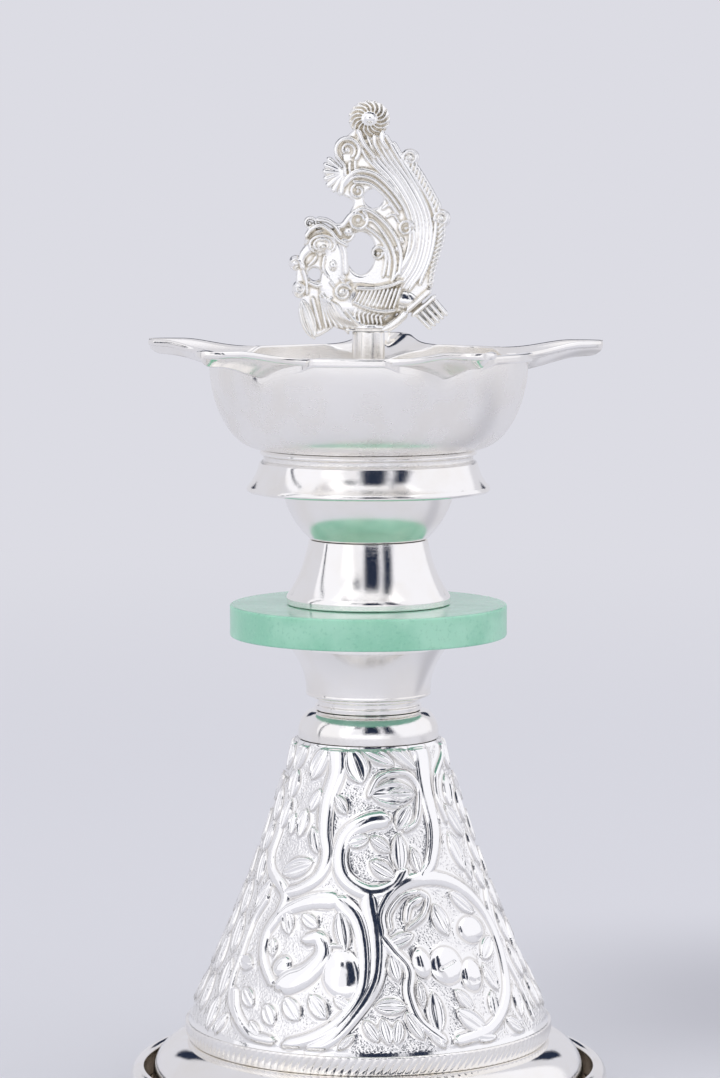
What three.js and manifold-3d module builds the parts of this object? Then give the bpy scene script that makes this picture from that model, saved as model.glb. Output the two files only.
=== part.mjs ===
// Standing oil lamp: a tall embossed cone on a rolled base ring carries a green stone disc, a five-spouted
// oil dish and a cast peacock. One threaded rod runs from the base floor to the finial and clamps the stack.
// Millimetres, +Z up, origin on the floor under the lamp's axis. The peacock faces -X.
import * as THREE from "three";
import { mergeVertices } from "three/addons/utils/BufferGeometryUtils.js";
import Module from "manifold-3d";

const wasm = await Module();
wasm.setup();

// Clearances
const SEAT = 0.1; // between two pieces that stand on each other
const FIT = 0.2; // round a spigot in its socket
const ROD_CLEARANCE = 0.3; // round the rod in each bore

// Base: rolled ring, sheet floor, skirt and band
const RIM_OUTER = 60.2;
const RIM_WALL = 3.8;
const RIM_HEIGHT = 9.9;
const RIM_LIP_ROUND = 1.2;
const RIM_BOTTOM_ROUND = 2.4;
const RIM_LEDGE_HEIGHT = 2.2;
const RIM_LEDGE_REACH = 5.2;
const TRAY_THICKNESS = 1.2;
const TRAY_DOME_RADIUS = 16;
const TRAY_DOME_SLOPE = 6;
const TRAY_DOME_RISE = 4.5;
const SKIRT_TROUGH = 2; // width of the gap between skirt and ring
const SKIRT_UPRIGHT = 3.4;
const SKIRT_ROUND_HEIGHT = 9.3;
const SKIRT_WALL = 1;
const BAND_HEIGHT = 4.6;
const BAND_LOWER_RADIUS = 45.3;
const BAND_FLARE = 0.7; // how much wider the band is at its top
const BAND_BULGE = 0.8;
const BAND_INNER_STEP = 1.6; // how far skirt top and band reach in under the cone's foot

// Embossed cone
const CONE_FOOT_INSET = 0.6; // how far the cone's foot stands in from the band's upper edge
const CONE_TOP_RADIUS = 18.2;
const CONE_HEIGHT = 71.1;
const CONE_WAIST_PULL = 4.3; // how far the middle of the flank is drawn in from a straight line, twice over
const CONE_WALL = 1.2;

// Collar, step ring and neck cup
const COLLAR_RADIUS = 17.6;
const COLLAR_HEIGHT = 7;
const COLLAR_UPRIGHT = 1.3;
const COLLAR_TOP_RADIUS = 13.6;
const COLLAR_SPIGOT_DEPTH = 3;
const STEP_RADIUS = 13.3;
const STEP_HEIGHT = 3.4;
const CUP_HEIGHT = 15;
const CUP_LOWER_RADIUS = 15.6;
const CUP_UPPER_RADIUS = 20;
const CUP_BRIM_HEIGHT = 2.7;
const CUP_LOWER_ROUND = 0.8;

// Stone disc with its bush and gaskets
const STONE_RADIUS = 34.6;
const STONE_THICKNESS = 7.9;
const STONE_EDGE_ROUND = 0.5;
const STONE_BORE_RADIUS = 5;
const GASKET_INNER_RADIUS = 7;
const GASKET_WIDTH = 5;
const GASKET_THICKNESS = 0.8;

// Spacer, lower bowl and foot of the dish
const SPACER_HEIGHT = 16.1;
const SPACER_LOWER_RADIUS = 20.5;
const SPACER_BAND_HEIGHT = 2.3;
const SPACER_UPPER_RADIUS = 14.9;
const LOWER_BOWL_SPHERE = 21.9;
const LOWER_BOWL_HEIGHT = 18.5;
const LOWER_BOWL_SEAT_RADIUS = 14.5;
const FOOT_HEIGHT = 10.7;
const FOOT_RADIUS = 30.5;
const FOOT_LIP_HEIGHT = 0.7;
const FOOT_WAIST_RADIUS = 26.1;
const FOOT_BEAD_SIZE = 1.1;
const FOOT_WEB = 3.9;
const FOOT_WALL = 1.4;

// Oil dish
const DISH_HEIGHT = 24.2;
const DISH_RADIUS = 39.6;
const DISH_FLOOR_RADIUS = 26.7;
const DISH_ROUND_HEIGHT = 18.9;
const DISH_WALL = 1.3;
const DISH_FLOOR = 1.6;
const LIP_HEIGHT = 1.7;
const LIP_REACH = 1.6;

// Wick spouts, soldered by hand and so not quite evenly spaced
const SPOUT_AZIMUTHS = [12.6, 84.6, 157, 229, 297];
const SPOUT_TIP_RADIUS = 60.4;
const SPOUT_ROOT_HALF_WIDTH = 15.6;
const SPOUT_NOSE_HALF_WIDTH = 3.6;
const SPOUT_FILLET_WIDTH = 4.5;
const SPOUT_ROOT_DEPTH = 5.2;
const SPOUT_NOSE_DEPTH = 3.7;
const SPOUT_RISE = 2.1;
const SPOUT_RISE_END = 0.7; // share of the spout's length at which its lip is level again
const SPOUT_WALL = 1.1;
const SPOUT_LIP_WIDTH = 1.4;
const SPOUT_NOSE_START = 0.84; // share of the spout's length at which its nose begins to round off
const SPOUT_FILLET_POWER = 8; // how fast the flare at the root dies out along the spout
const SPOUT_KEEL_POWER = 1.6; // 2 is a parabola across the keel, and less is sharper
const SPOUT_TROUGH_POWER = 1.8;

// Tie rod, clamp and finial
const ROD_RADIUS = 2;
const WASHER_RADIUS = 6;
const WASHER_THICKNESS = 1;
const NUT_ACROSS_FLATS = 7;
const NUT_HEIGHT = 3.2;
const ROD_BELOW_NUT = 1.1;
const THREAD_ENGAGEMENT = 10;
const POST_RADIUS = 4.05;
const POST_HEIGHT = 27.4;
const POST_BORE_SPARE = 1.2; // bore left above the end of the rod

// Peacock casting: its half thickness at each part, and the disc that stands on the post
const PEACOCK_HEIGHT = 57.1;
const PEACOCK_WEB_HALF = 1.5;
const PEACOCK_PLUME_HALF = 2.4;
const PEACOCK_EDGE_HALF = 2.1;
const PEACOCK_BEAD_HALF = 2.1;
const PEACOCK_BOSS_HALF = 2.9;
const PEACOCK_NECK_HALF = 3.2;
const PEACOCK_BODY_HALF = 4.6;
const PEACOCK_TAIL_HALF = 2;
const PEACOCK_BASE_RADIUS = 4.8;
const PEACOCK_BASE_HEIGHT = 1.8;
const PEACOCK_MERGE = 0.06; // corners of the casting closer than this become one

const LARGE = 36; // facets round a large piece
const SMALL = 24; // facets round a small piece
const HIDDEN = 12; // facets round a small piece that nothing shows

// Finishes
function finish(color, roughness, metalness) {
  return new THREE.MeshStandardMaterial({ color, roughness, metalness });
}
const silver = finish(0xe9e6df, 0.1, 1);
const castSilver = finish(0xe6e1d3, 0.28, 1);
const stone = finish(0x86cfae, 0.22, 0);
const steel = finish(0x9a9a98, 0.35, 1);
const rubber = finish(0x26262a, 0.85, 0);
const nylon = finish(0xd9d6cc, 0.6, 0);

const { degToRad, lerp, radToDeg, smoothstep } = THREE.MathUtils;
const lamp = new THREE.Group();

// Adds one named piece to the lamp.
function piece(name, geometry, material) {
  const mesh = new THREE.Mesh(geometry, material);
  mesh.name = name;
  lamp.add(mesh);
  return mesh;
}

// Solid for joining and cutting: shared vertices are merged, and triangles that this flattens are left out.
function solidOf(geometry) {
  const bare = geometry.clone();
  bare.deleteAttribute("normal");
  bare.deleteAttribute("uv");
  const merged = mergeVertices(bare, 1e-4);
  const corners = merged.index.array;
  const kept = [];
  for (let i = 0; i < corners.length; i += 3) {
    const [a, b, c] = corners.slice(i, i + 3);
    if (a !== b && b !== c && c !== a) kept.push(a, b, c);
  }
  const vertProperties = merged.attributes.position.array;
  const mesh = new wasm.Mesh({ numProp: 3, vertProperties, triVerts: new Uint32Array(kept) });
  return new wasm.Manifold(mesh);
}

// Geometry of a solid, ready for a mesh.
function geometryOf(solid) {
  const mesh = solid.getMesh();
  const geometry = new THREE.BufferGeometry();
  geometry.setAttribute("position", new THREE.BufferAttribute(mesh.vertProperties, 3));
  geometry.setIndex(new THREE.BufferAttribute(mesh.triVerts, 1));
  geometry.computeVertexNormals();
  return geometry;
}

// Points of an elliptical arc about [r, z], angles in degrees from the outward direction towards +Z.
function arc([r, z], radiusR, radiusZ, from, to, steps) {
  return Array.from({ length: steps + 1 }, (_, i) => {
    const angle = degToRad(from + ((to - from) * i) / steps);
    return [r + radiusR * Math.cos(angle), z + radiusZ * Math.sin(angle)];
  });
}

// Points of a curve from start to end that is drawn towards pull.
function bend(start, pull, end, steps) {
  const [a, b, c] = [start, pull, end].map((p) => new THREE.Vector2(...p));
  return new THREE.QuadraticBezierCurve(a, b, c).getPoints(steps).map((p) => p.toArray());
}

// Geometry turned about the lamp's axis from a closed outline of [radius, height] points.
function turned(outline, facets) {
  const points = outline.map(([r, z]) => new THREE.Vector2(r, z));
  if (THREE.ShapeUtils.isClockWise(points)) points.reverse();
  const start = points.findIndex((p, i) => p.x === 0 && points.at(i - 1).x === 0);
  if (start < 0) points.push(points[0].clone());
  else points.push(...points.splice(0, start));
  return new THREE.LatheGeometry(points, facets).rotateX(Math.PI / 2);
}

// Closed skin over sections that have equally many points, each a list of Vector2 set in space by its matrix.
function loft(sections) {
  const count = sections[0].outline.length;
  const last = (sections.length - 1) * count;
  const positions = sections.flatMap(({ outline, place }) =>
    outline.flatMap((p) => new THREE.Vector3(p.x, p.y, 0).applyMatrix4(place).toArray()),
  );
  const index = [];
  for (let base = 0; base < last; base += count) {
    for (let k = 0; k < count; k++) {
      const [a, b] = [base + k, base + ((k + 1) % count)];
      index.push(a, b, b + count, a, b + count, a + count);
    }
  }
  for (const [a, b, c] of THREE.ShapeUtils.triangulateShape(sections[0].outline, [])) index.push(a, c, b);
  for (const face of THREE.ShapeUtils.triangulateShape(sections.at(-1).outline, [])) {
    index.push(...face.map((k) => last + k));
  }
  const geometry = new THREE.BufferGeometry();
  geometry.setAttribute("position", new THREE.Float32BufferAttribute(positions, 3));
  geometry.setIndex(index);
  geometry.computeVertexNormals();
  return geometry;
}

const boreRadius = ROD_RADIUS + ROD_CLEARANCE;

// Base ring: a rolled outer wall, and a ledge inside it that the floor sheet lies on.
const rimInner = RIM_OUTER - RIM_WALL;
const rimSwell = (RIM_HEIGHT + RIM_BOTTOM_ROUND) / 2;
const rimCurl = RIM_OUTER - RIM_BOTTOM_ROUND;
piece(
  "base_rim",
  turned(
    [
      [rimInner - RIM_LEDGE_REACH, 0],
      ...arc([rimCurl, RIM_BOTTOM_ROUND], RIM_BOTTOM_ROUND, RIM_BOTTOM_ROUND, -90, 0, 2),
      ...arc([rimInner + RIM_LIP_ROUND, rimSwell], RIM_WALL - RIM_LIP_ROUND, RIM_HEIGHT - rimSwell, 0, 90, 3),
      [rimInner, RIM_HEIGHT - RIM_LIP_ROUND / 2],
      [rimInner, RIM_LEDGE_HEIGHT],
      [rimInner - RIM_LEDGE_REACH, RIM_LEDGE_HEIGHT],
    ],
    LARGE,
  ),
  silver,
);

// Floor sheet of the base, pressed up in the middle so that the nut under it clears the table.
const trayUnder = RIM_LEDGE_HEIGHT + SEAT;
const trayTop = trayUnder + TRAY_THICKNESS;
const domeUnder = trayUnder + TRAY_DOME_RISE;
const domeTop = trayTop + TRAY_DOME_RISE;
const domeFoot = TRAY_DOME_RADIUS + TRAY_DOME_SLOPE;
piece(
  "base_tray",
  turned(
    [
      [boreRadius, domeUnder],
      [TRAY_DOME_RADIUS, domeUnder],
      [domeFoot, trayUnder],
      [rimInner - FIT, trayUnder],
      [rimInner - FIT, trayTop],
      [domeFoot, trayTop],
      [TRAY_DOME_RADIUS, domeTop],
      [boreRadius, domeTop],
    ],
    LARGE,
  ),
  silver,
);

// Skirt: upright at the floor, then rounded in to the band.
const skirtFoot = trayTop + SEAT;
const skirtOuter = rimInner - SKIRT_TROUGH;
const skirtShoulder = skirtFoot + SKIRT_UPRIGHT;
const skirtRound = skirtOuter - BAND_LOWER_RADIUS;
const skirtTop = skirtShoulder + SKIRT_ROUND_HEIGHT;
piece(
  "base_skirt",
  turned(
    [
      [skirtOuter, skirtFoot],
      ...arc([BAND_LOWER_RADIUS, skirtShoulder], skirtRound, SKIRT_ROUND_HEIGHT, 0, 90, 4),
      [BAND_LOWER_RADIUS - BAND_INNER_STEP, skirtTop],
      [BAND_LOWER_RADIUS - BAND_INNER_STEP, skirtTop - SKIRT_WALL],
      ...arc(
        [BAND_LOWER_RADIUS, skirtShoulder],
        skirtRound - SKIRT_WALL,
        SKIRT_ROUND_HEIGHT - SKIRT_WALL,
        90,
        0,
        2,
      ),
      [skirtOuter - SKIRT_WALL, skirtFoot],
    ],
    LARGE,
  ),
  silver,
);

// Half-round band between skirt and cone.
const bandFoot = skirtTop + SEAT;
const bandTop = bandFoot + BAND_HEIGHT;
const bandUpper = BAND_LOWER_RADIUS + BAND_FLARE;
const bandPull = [bandUpper + BAND_BULGE, (bandFoot + bandTop) / 2];
piece(
  "rope_band",
  turned(
    [
      [BAND_LOWER_RADIUS - BAND_INNER_STEP, bandFoot],
      ...bend([BAND_LOWER_RADIUS, bandFoot], bandPull, [bandUpper, bandTop], 4),
      [BAND_LOWER_RADIUS - BAND_INNER_STEP, bandTop],
    ],
    LARGE,
  ),
  silver,
);

// Embossed cone: sheet wall whose flank is drawn in a little at half height.
const coneFoot = bandTop + SEAT;
const coneTop = coneFoot + CONE_HEIGHT;
const coneOuter = bandUpper - CONE_FOOT_INSET;
const conePull = [(coneOuter + CONE_TOP_RADIUS) / 2 - CONE_WAIST_PULL, (coneFoot + coneTop) / 2];
const coneFlank = bend([coneOuter, coneFoot], conePull, [CONE_TOP_RADIUS, coneTop], 5);
const coneInside = coneFlank.map(([r, z]) => [r - CONE_WALL, z]).reverse();
piece("cone_shell", turned([...coneFlank, ...coneInside], LARGE), silver);

// Collar: a rounded cap whose spigot drops into the cone's mouth.
const collarFoot = coneTop + SEAT;
const collarTop = collarFoot + COLLAR_HEIGHT;
const collarShoulder = collarFoot + COLLAR_UPRIGHT;
const spigotRadius = CONE_TOP_RADIUS - CONE_WALL - FIT;
piece(
  "collar",
  turned(
    [
      [boreRadius, collarFoot - COLLAR_SPIGOT_DEPTH],
      [spigotRadius, collarFoot - COLLAR_SPIGOT_DEPTH],
      [spigotRadius, collarFoot],
      [COLLAR_RADIUS, collarFoot],
      ...arc(
        [COLLAR_TOP_RADIUS, collarShoulder],
        COLLAR_RADIUS - COLLAR_TOP_RADIUS,
        collarTop - collarShoulder,
        0,
        90,
        4,
      ),
      [boreRadius, collarTop],
    ],
    SMALL,
  ),
  silver,
);

// Step ring on the collar.
const stepFoot = collarTop + SEAT;
const stepTop = stepFoot + STEP_HEIGHT;
piece(
  "step_ring",
  turned(
    [
      [boreRadius, stepFoot],
      [STEP_RADIUS, stepFoot],
      [STEP_RADIUS, stepTop],
      [boreRadius, stepTop],
    ],
    SMALL,
  ),
  silver,
);

// Neck cup: flares up to a brim that carries the stone, with a recess in its face for the gasket.
const cupFoot = stepTop + SEAT;
const cupTop = cupFoot + CUP_HEIGHT;
const gasketOuter = GASKET_INNER_RADIUS + GASKET_WIDTH;
const recessDepth = GASKET_THICKNESS + SEAT;
piece(
  "neck_cup",
  turned(
    [
      [boreRadius, cupFoot],
      [CUP_LOWER_RADIUS - CUP_LOWER_ROUND, cupFoot],
      [CUP_LOWER_RADIUS, cupFoot + CUP_LOWER_ROUND],
      ...bend(
        [CUP_LOWER_RADIUS, cupFoot + 2 * CUP_LOWER_ROUND],
        [CUP_LOWER_RADIUS, (cupFoot + cupTop) / 2 - CUP_LOWER_ROUND],
        [CUP_UPPER_RADIUS, cupTop - CUP_BRIM_HEIGHT],
        5,
      ),
      [CUP_UPPER_RADIUS, cupTop],
      [gasketOuter + FIT, cupTop],
      [gasketOuter + FIT, cupTop - recessDepth],
      [boreRadius, cupTop - recessDepth],
    ],
    SMALL,
  ),
  silver,
);

// Flat ring with a round hole, for gaskets, bush and washer.
function ring(inner, outer, foot, thickness) {
  const box = [
    [inner, foot],
    [outer, foot],
    [outer, foot + thickness],
    [inner, foot + thickness],
  ];
  return turned(box, HIDDEN);
}

// Stone disc, its bush, and the gaskets that lie under and over it.
const stoneFoot = cupTop + SEAT;
const stoneTop = stoneFoot + STONE_THICKNESS;
const gasketFoot = cupTop - GASKET_THICKNESS;
piece("lower_gasket", ring(GASKET_INNER_RADIUS, gasketOuter, gasketFoot, GASKET_THICKNESS), rubber);
piece(
  "stone_disc",
  turned(
    [
      [STONE_BORE_RADIUS, stoneFoot],
      [STONE_RADIUS - STONE_EDGE_ROUND, stoneFoot],
      [STONE_RADIUS, stoneFoot + STONE_EDGE_ROUND],
      [STONE_RADIUS, stoneTop - STONE_EDGE_ROUND],
      [STONE_RADIUS - STONE_EDGE_ROUND, stoneTop],
      [STONE_BORE_RADIUS, stoneTop],
    ],
    LARGE,
  ),
  stone,
);
piece("stone_bush", ring(boreRadius, STONE_BORE_RADIUS - FIT, stoneFoot, STONE_THICKNESS), nylon);

// Spacer: a short upright band on the stone, then a flank drawn in towards the bowl, recessed below.
const spacerFoot = stoneTop + SEAT;
const spacerTop = spacerFoot + SPACER_HEIGHT;
const spacerShoulder = spacerFoot + SPACER_BAND_HEIGHT;
piece("upper_gasket", ring(GASKET_INNER_RADIUS, gasketOuter, spacerFoot, GASKET_THICKNESS), rubber);
piece(
  "spacer",
  turned(
    [
      [gasketOuter + FIT, spacerFoot],
      [SPACER_LOWER_RADIUS, spacerFoot],
      ...bend(
        [SPACER_LOWER_RADIUS, spacerShoulder],
        [(SPACER_LOWER_RADIUS + 2 * SPACER_UPPER_RADIUS) / 3, (2 * spacerShoulder + spacerTop) / 3],
        [SPACER_UPPER_RADIUS, spacerTop],
        5,
      ),
      [boreRadius, spacerTop],
      [boreRadius, spacerFoot + recessDepth],
      [gasketOuter + FIT, spacerFoot + recessDepth],
    ],
    SMALL,
  ),
  silver,
);

// Lower bowl: a slice of a sphere, cut flat where it stands and under the foot's web.
const lowerFoot = spacerTop + SEAT;
const lowerTop = lowerFoot + LOWER_BOWL_HEIGHT;
const lowerSink = Math.sqrt(LOWER_BOWL_SPHERE ** 2 - LOWER_BOWL_SEAT_RADIUS ** 2);
const lowerCentre = lowerFoot + lowerSink;
const lowerTilt = radToDeg(Math.asin(lowerSink / LOWER_BOWL_SPHERE));
const lowerEnd = radToDeg(Math.asin((lowerTop - lowerCentre) / LOWER_BOWL_SPHERE));
piece(
  "lower_bowl",
  turned(
    [
      [boreRadius, lowerFoot],
      ...arc([0, lowerCentre], LOWER_BOWL_SPHERE, LOWER_BOWL_SPHERE, -lowerTilt, lowerEnd, 6),
      [boreRadius, lowerTop],
    ],
    SMALL,
  ),
  silver,
);

// Foot of the dish: a flared ring under a beaded waist, hollow below the web that stands on the lower bowl.
const webUnder = lowerTop + SEAT;
const footTop = webUnder + FOOT_WEB;
const footBottom = footTop - FOOT_HEIGHT;
const beadTop = footTop - FOOT_BEAD_SIZE;
const waistTop = beadTop - FOOT_BEAD_SIZE;
const flareTop = waistTop - FOOT_BEAD_SIZE;
piece(
  "dish_foot",
  turned(
    [
      [FOOT_RADIUS - FOOT_LIP_HEIGHT, footBottom],
      [FOOT_RADIUS, footBottom + FOOT_LIP_HEIGHT],
      ...bend(
        [FOOT_RADIUS - FOOT_LIP_HEIGHT / 2, footBottom + 2 * FOOT_LIP_HEIGHT],
        [FOOT_WAIST_RADIUS + FOOT_BEAD_SIZE, (footBottom + flareTop) / 2],
        [FOOT_WAIST_RADIUS + FOOT_BEAD_SIZE, flareTop],
        3,
      ),
      [FOOT_WAIST_RADIUS, waistTop],
      [FOOT_WAIST_RADIUS, beadTop - FOOT_BEAD_SIZE / 2],
      [FOOT_WAIST_RADIUS + FOOT_BEAD_SIZE, beadTop],
      [FOOT_WAIST_RADIUS + FOOT_BEAD_SIZE / 2, footTop],
      [boreRadius, footTop],
      [boreRadius, webUnder],
      [FOOT_WAIST_RADIUS - FOOT_WALL, webUnder],
      [FOOT_RADIUS - FOOT_LIP_HEIGHT - FOOT_WALL, footBottom],
    ],
    LARGE,
  ),
  silver,
);

// Oil dish: flat floor, round wall and an outward lip.
const dishFoot = footTop + SEAT;
const rimPlane = dishFoot + DISH_HEIGHT;
const dishShoulder = dishFoot + DISH_ROUND_HEIGHT;
const dishRound = DISH_RADIUS - DISH_FLOOR_RADIUS;
const dishCurl = [DISH_FLOOR_RADIUS, dishShoulder];
const lipRadius = DISH_RADIUS + LIP_REACH;
const dishBlank = turned(
  [
    [boreRadius, dishFoot],
    ...arc(dishCurl, dishRound, DISH_ROUND_HEIGHT, -90, 0, 5),
    [DISH_RADIUS, rimPlane - LIP_HEIGHT],
    [lipRadius, rimPlane - LIP_HEIGHT],
    [lipRadius, rimPlane],
    [DISH_RADIUS - DISH_WALL, rimPlane],
    ...arc(dishCurl, dishRound - DISH_WALL, DISH_ROUND_HEIGHT - DISH_FLOOR, 0, -90, 3),
    [boreRadius, dishFoot + DISH_FLOOR],
  ],
  LARGE,
);

// Sizes of a wick spout at a share of its length: half width, depth and rise over the dish's rim plane.
const spoutRoot = Math.sqrt(DISH_RADIUS ** 2 - SPOUT_ROOT_HALF_WIDTH ** 2);
const spoutLength = SPOUT_TIP_RADIUS - spoutRoot;
const spoutTaper = SPOUT_ROOT_HALF_WIDTH - SPOUT_NOSE_HALF_WIDTH - SPOUT_FILLET_WIDTH;
function spoutSizes(share) {
  const past = Math.max(0, (share - SPOUT_NOSE_START) / (1 - SPOUT_NOSE_START));
  const nose = Math.sqrt(1 - past ** 2);
  const left = 1 - share;
  const flare = SPOUT_FILLET_WIDTH * left ** SPOUT_FILLET_POWER;
  return {
    nose,
    half: nose * (SPOUT_NOSE_HALF_WIDTH + spoutTaper * left + flare),
    depth: LIP_HEIGHT + nose * (lerp(SPOUT_ROOT_DEPTH, SPOUT_NOSE_DEPTH, share) - LIP_HEIGHT),
    rise: SPOUT_RISE * smoothstep(share, 0, SPOUT_RISE_END),
  };
}

// Matrix of a section across a spout: x is across, y is up, and the section faces away from the axis.
function acrossSpout(share, height) {
  const place = new THREE.Matrix4().makeBasis(
    new THREE.Vector3(0, 1, 0),
    new THREE.Vector3(0, 0, 1),
    new THREE.Vector3(1, 0, 0),
  );
  return place.setPosition(spoutRoot + share * spoutLength, 0, rimPlane + height);
}

const rootShares = [0, 0.04, 0.1, 0.2, 0.35]; // closer together where the flare at the root bends
const spread = (steps) => Array.from({ length: steps + 1 }, (_, i) => (2 * i) / steps - 1);
const keel = (t, power) => 1 - Math.abs(t) ** power;

// Underside of a spout's section: upright lips joined by a keel.
function underLine(half, lip, depth) {
  return spread(6).map((t) => [half * t, -lip - (depth - LIP_HEIGHT) * keel(t, SPOUT_KEEL_POWER)]);
}

// A spout: a trough with a keel below and a bright lip round its edge, closed at the nose.
function spoutGeometry() {
  const shares = [...rootShares, 0.55, SPOUT_NOSE_START, 0.93, 0.98, 0.995];
  return loft(
    shares.map((share) => {
      const { nose, half, depth, rise } = spoutSizes(share);
      const inner = half - SPOUT_LIP_WIDTH * Math.min(1, half / (2 * SPOUT_LIP_WIDTH));
      const hollow = nose * (depth - SPOUT_WALL);
      const under = underLine(half, LIP_HEIGHT, depth);
      const trough = spread(4).map((t) => [-inner * t, -hollow * keel(t, SPOUT_TROUGH_POWER)]);
      const outline = [...under, [half, 0], ...trough, [-half, 0]].map((p) => new THREE.Vector2(...p));
      return { outline, place: acrossSpout(share, rise) };
    }),
  );
}

// The room that a spout takes out of the dish's wall and lip, with the seat's clearance round it.
function spoutRoom() {
  const above = SPOUT_RISE + DISH_WALL;
  const shares = [-SEAT / spoutLength, ...rootShares];
  return loft(
    shares.map((share) => {
      const { half, depth, rise } = spoutSizes(Math.max(0, share));
      const side = half + SEAT;
      const under = underLine(side, LIP_HEIGHT + SEAT, depth);
      const outline = [...under, [side, above], [-side, above]].map((p) => new THREE.Vector2(...p));
      return { outline, place: acrossSpout(share, rise) };
    }),
  );
}

const spoutShape = spoutGeometry();
const roomShape = spoutRoom();
let dish = solidOf(dishBlank);
SPOUT_AZIMUTHS.forEach((azimuth, i) => {
  const turn = degToRad(azimuth);
  dish = dish.subtract(solidOf(roomShape.clone().rotateZ(turn)));
  piece(`wick_spout_${i + 1}`, spoutShape.clone(), silver).rotation.z = turn;
});
piece("oil_dish", geometryOf(dish), silver);

// Tie rod with its washer and nut under the base floor.
const washerTop = domeUnder - SEAT;
const nutTop = washerTop - WASHER_THICKNESS - SEAT;
const rodFoot = nutTop - NUT_HEIGHT - ROD_BELOW_NUT;
const postFoot = dishFoot + DISH_FLOOR + SEAT;
const rodTop = postFoot + THREAD_ENGAGEMENT;
piece("clamp_washer", ring(boreRadius, WASHER_RADIUS, washerTop - WASHER_THICKNESS, WASHER_THICKNESS), steel);
const nutCorner = new THREE.Vector2(NUT_ACROSS_FLATS / Math.sqrt(3), 0);
const centre = new THREE.Vector2();
const nutOutline = new THREE.Shape(
  Array.from({ length: 6 }, (_, i) => nutCorner.clone().rotateAround(centre, (i * Math.PI) / 3)),
);
nutOutline.holes.push(new THREE.Path().absarc(0, 0, boreRadius, 0, 2 * Math.PI, true));
const nutSettings = { depth: NUT_HEIGHT, bevelEnabled: false, curveSegments: 6 };
const nut = new THREE.ExtrudeGeometry(nutOutline, nutSettings);
piece("clamp_nut", nut, steel).position.z = nutTop - NUT_HEIGHT;
const rodLength = rodTop - rodFoot;
const rod = new THREE.CylinderGeometry(ROD_RADIUS, ROD_RADIUS, rodLength, HIDDEN).rotateX(Math.PI / 2);
piece("tie_rod", rod, steel).position.z = rodFoot + rodLength / 2;

// Finial post: screws down on the rod's upper end and clamps the dish.
const postTop = postFoot + POST_HEIGHT;
piece(
  "finial_post",
  turned(
    [
      [0, rodTop + POST_BORE_SPARE],
      [boreRadius, rodTop + POST_BORE_SPARE],
      [boreRadius, postFoot],
      [POST_RADIUS, postFoot],
      [POST_RADIUS, postTop],
      [0, postTop],
    ],
    SMALL,
  ),
  silver,
);

// Peacock casting. Its parts are drawn in the plane of the tail as [x, height over the post's top], and the
// whole drawing is then brought to the casting's real height.

// One tapered stroke along a smooth path: half widths at its two ends, and half its thickness.
function stroke(path, [startWidth, endWidth], thick, steps = 5, sides = 4) {
  const curve = new THREE.CatmullRomCurve3(path.map(([x, h]) => new THREE.Vector3(x, 0, h)));
  const sections = Array.from({ length: steps + 1 }, (_, i) => {
    const turn = (Math.PI * i) / steps;
    const along = (1 - Math.cos(turn)) / 2;
    const round = Math.max(0.3, Math.sin(turn) ** 0.35);
    const half = round * lerp(startWidth, endWidth, along);
    const heading = curve.getTangentAt(along);
    const side = new THREE.Vector3(heading.z, 0, -heading.x);
    const place = new THREE.Matrix4().makeBasis(side, new THREE.Vector3(0, 1, 0), heading);
    place.setPosition(curve.getPointAt(along));
    return { outline: oval(half, round * thick, sides), place };
  });
  return solidOf(loft(sections));
}

function oval(halfX, halfY, sides) {
  return arc([0, 0], halfX, halfY, 0, 360, sides)
    .slice(1)
    .map((p) => new THREE.Vector2(...p));
}

// One rounded lump: half sizes in the drawing's plane, and half its thickness.
function lump([x, h], [sizeX, sizeH], thick, facets = 8) {
  const ball = new THREE.SphereGeometry(1, facets, Math.round(facets * 0.6)).rotateX(Math.PI / 2);
  return solidOf(ball.scale(sizeX, thick, sizeH).translate(x, 0, h));
}

// A scroll: a stroke that winds into its centre from an angle in degrees, turning is +1 or -1.
function scroll([x, h], radius, turning, from, width, thick) {
  const turns = 1.1;
  const eye = 0.3; // share of the radius that the stroke's inner end keeps
  const bends = 5;
  const path = Array.from({ length: bends + 1 }, (_, i) => {
    const angle = degToRad(from + (turning * turns * 360 * i) / bends);
    const reach = radius * lerp(1, eye, i / bends);
    return [x + reach * Math.cos(angle), h + reach * Math.sin(angle)];
  });
  return stroke(path, [width, width * 0.7], thick, 8);
}

// A plate with a fluted edge about a centre: each lobe bulges by the flute's depth, between two angles.
function fluted([x, h], radius, flute, lobes, [from, to], thick) {
  const perLobe = 3;
  const edge = Array.from({ length: perLobe * lobes + 1 }, (_, i) => {
    const angle = degToRad(from + ((to - from) * i) / (perLobe * lobes));
    const reach = radius - flute + flute * Math.abs(Math.sin((Math.PI * i) / perLobe));
    return new THREE.Vector2(x + reach * Math.cos(angle), h + reach * Math.sin(angle));
  });
  if (to - from === 360) edge.pop();
  else edge.push(new THREE.Vector2(x, h));
  const plate = new THREE.ExtrudeGeometry(new THREE.Shape(edge), { depth: 2 * thick, bevelEnabled: false });
  return solidOf(plate.rotateX(Math.PI / 2).translate(0, thick, 0));
}

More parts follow.
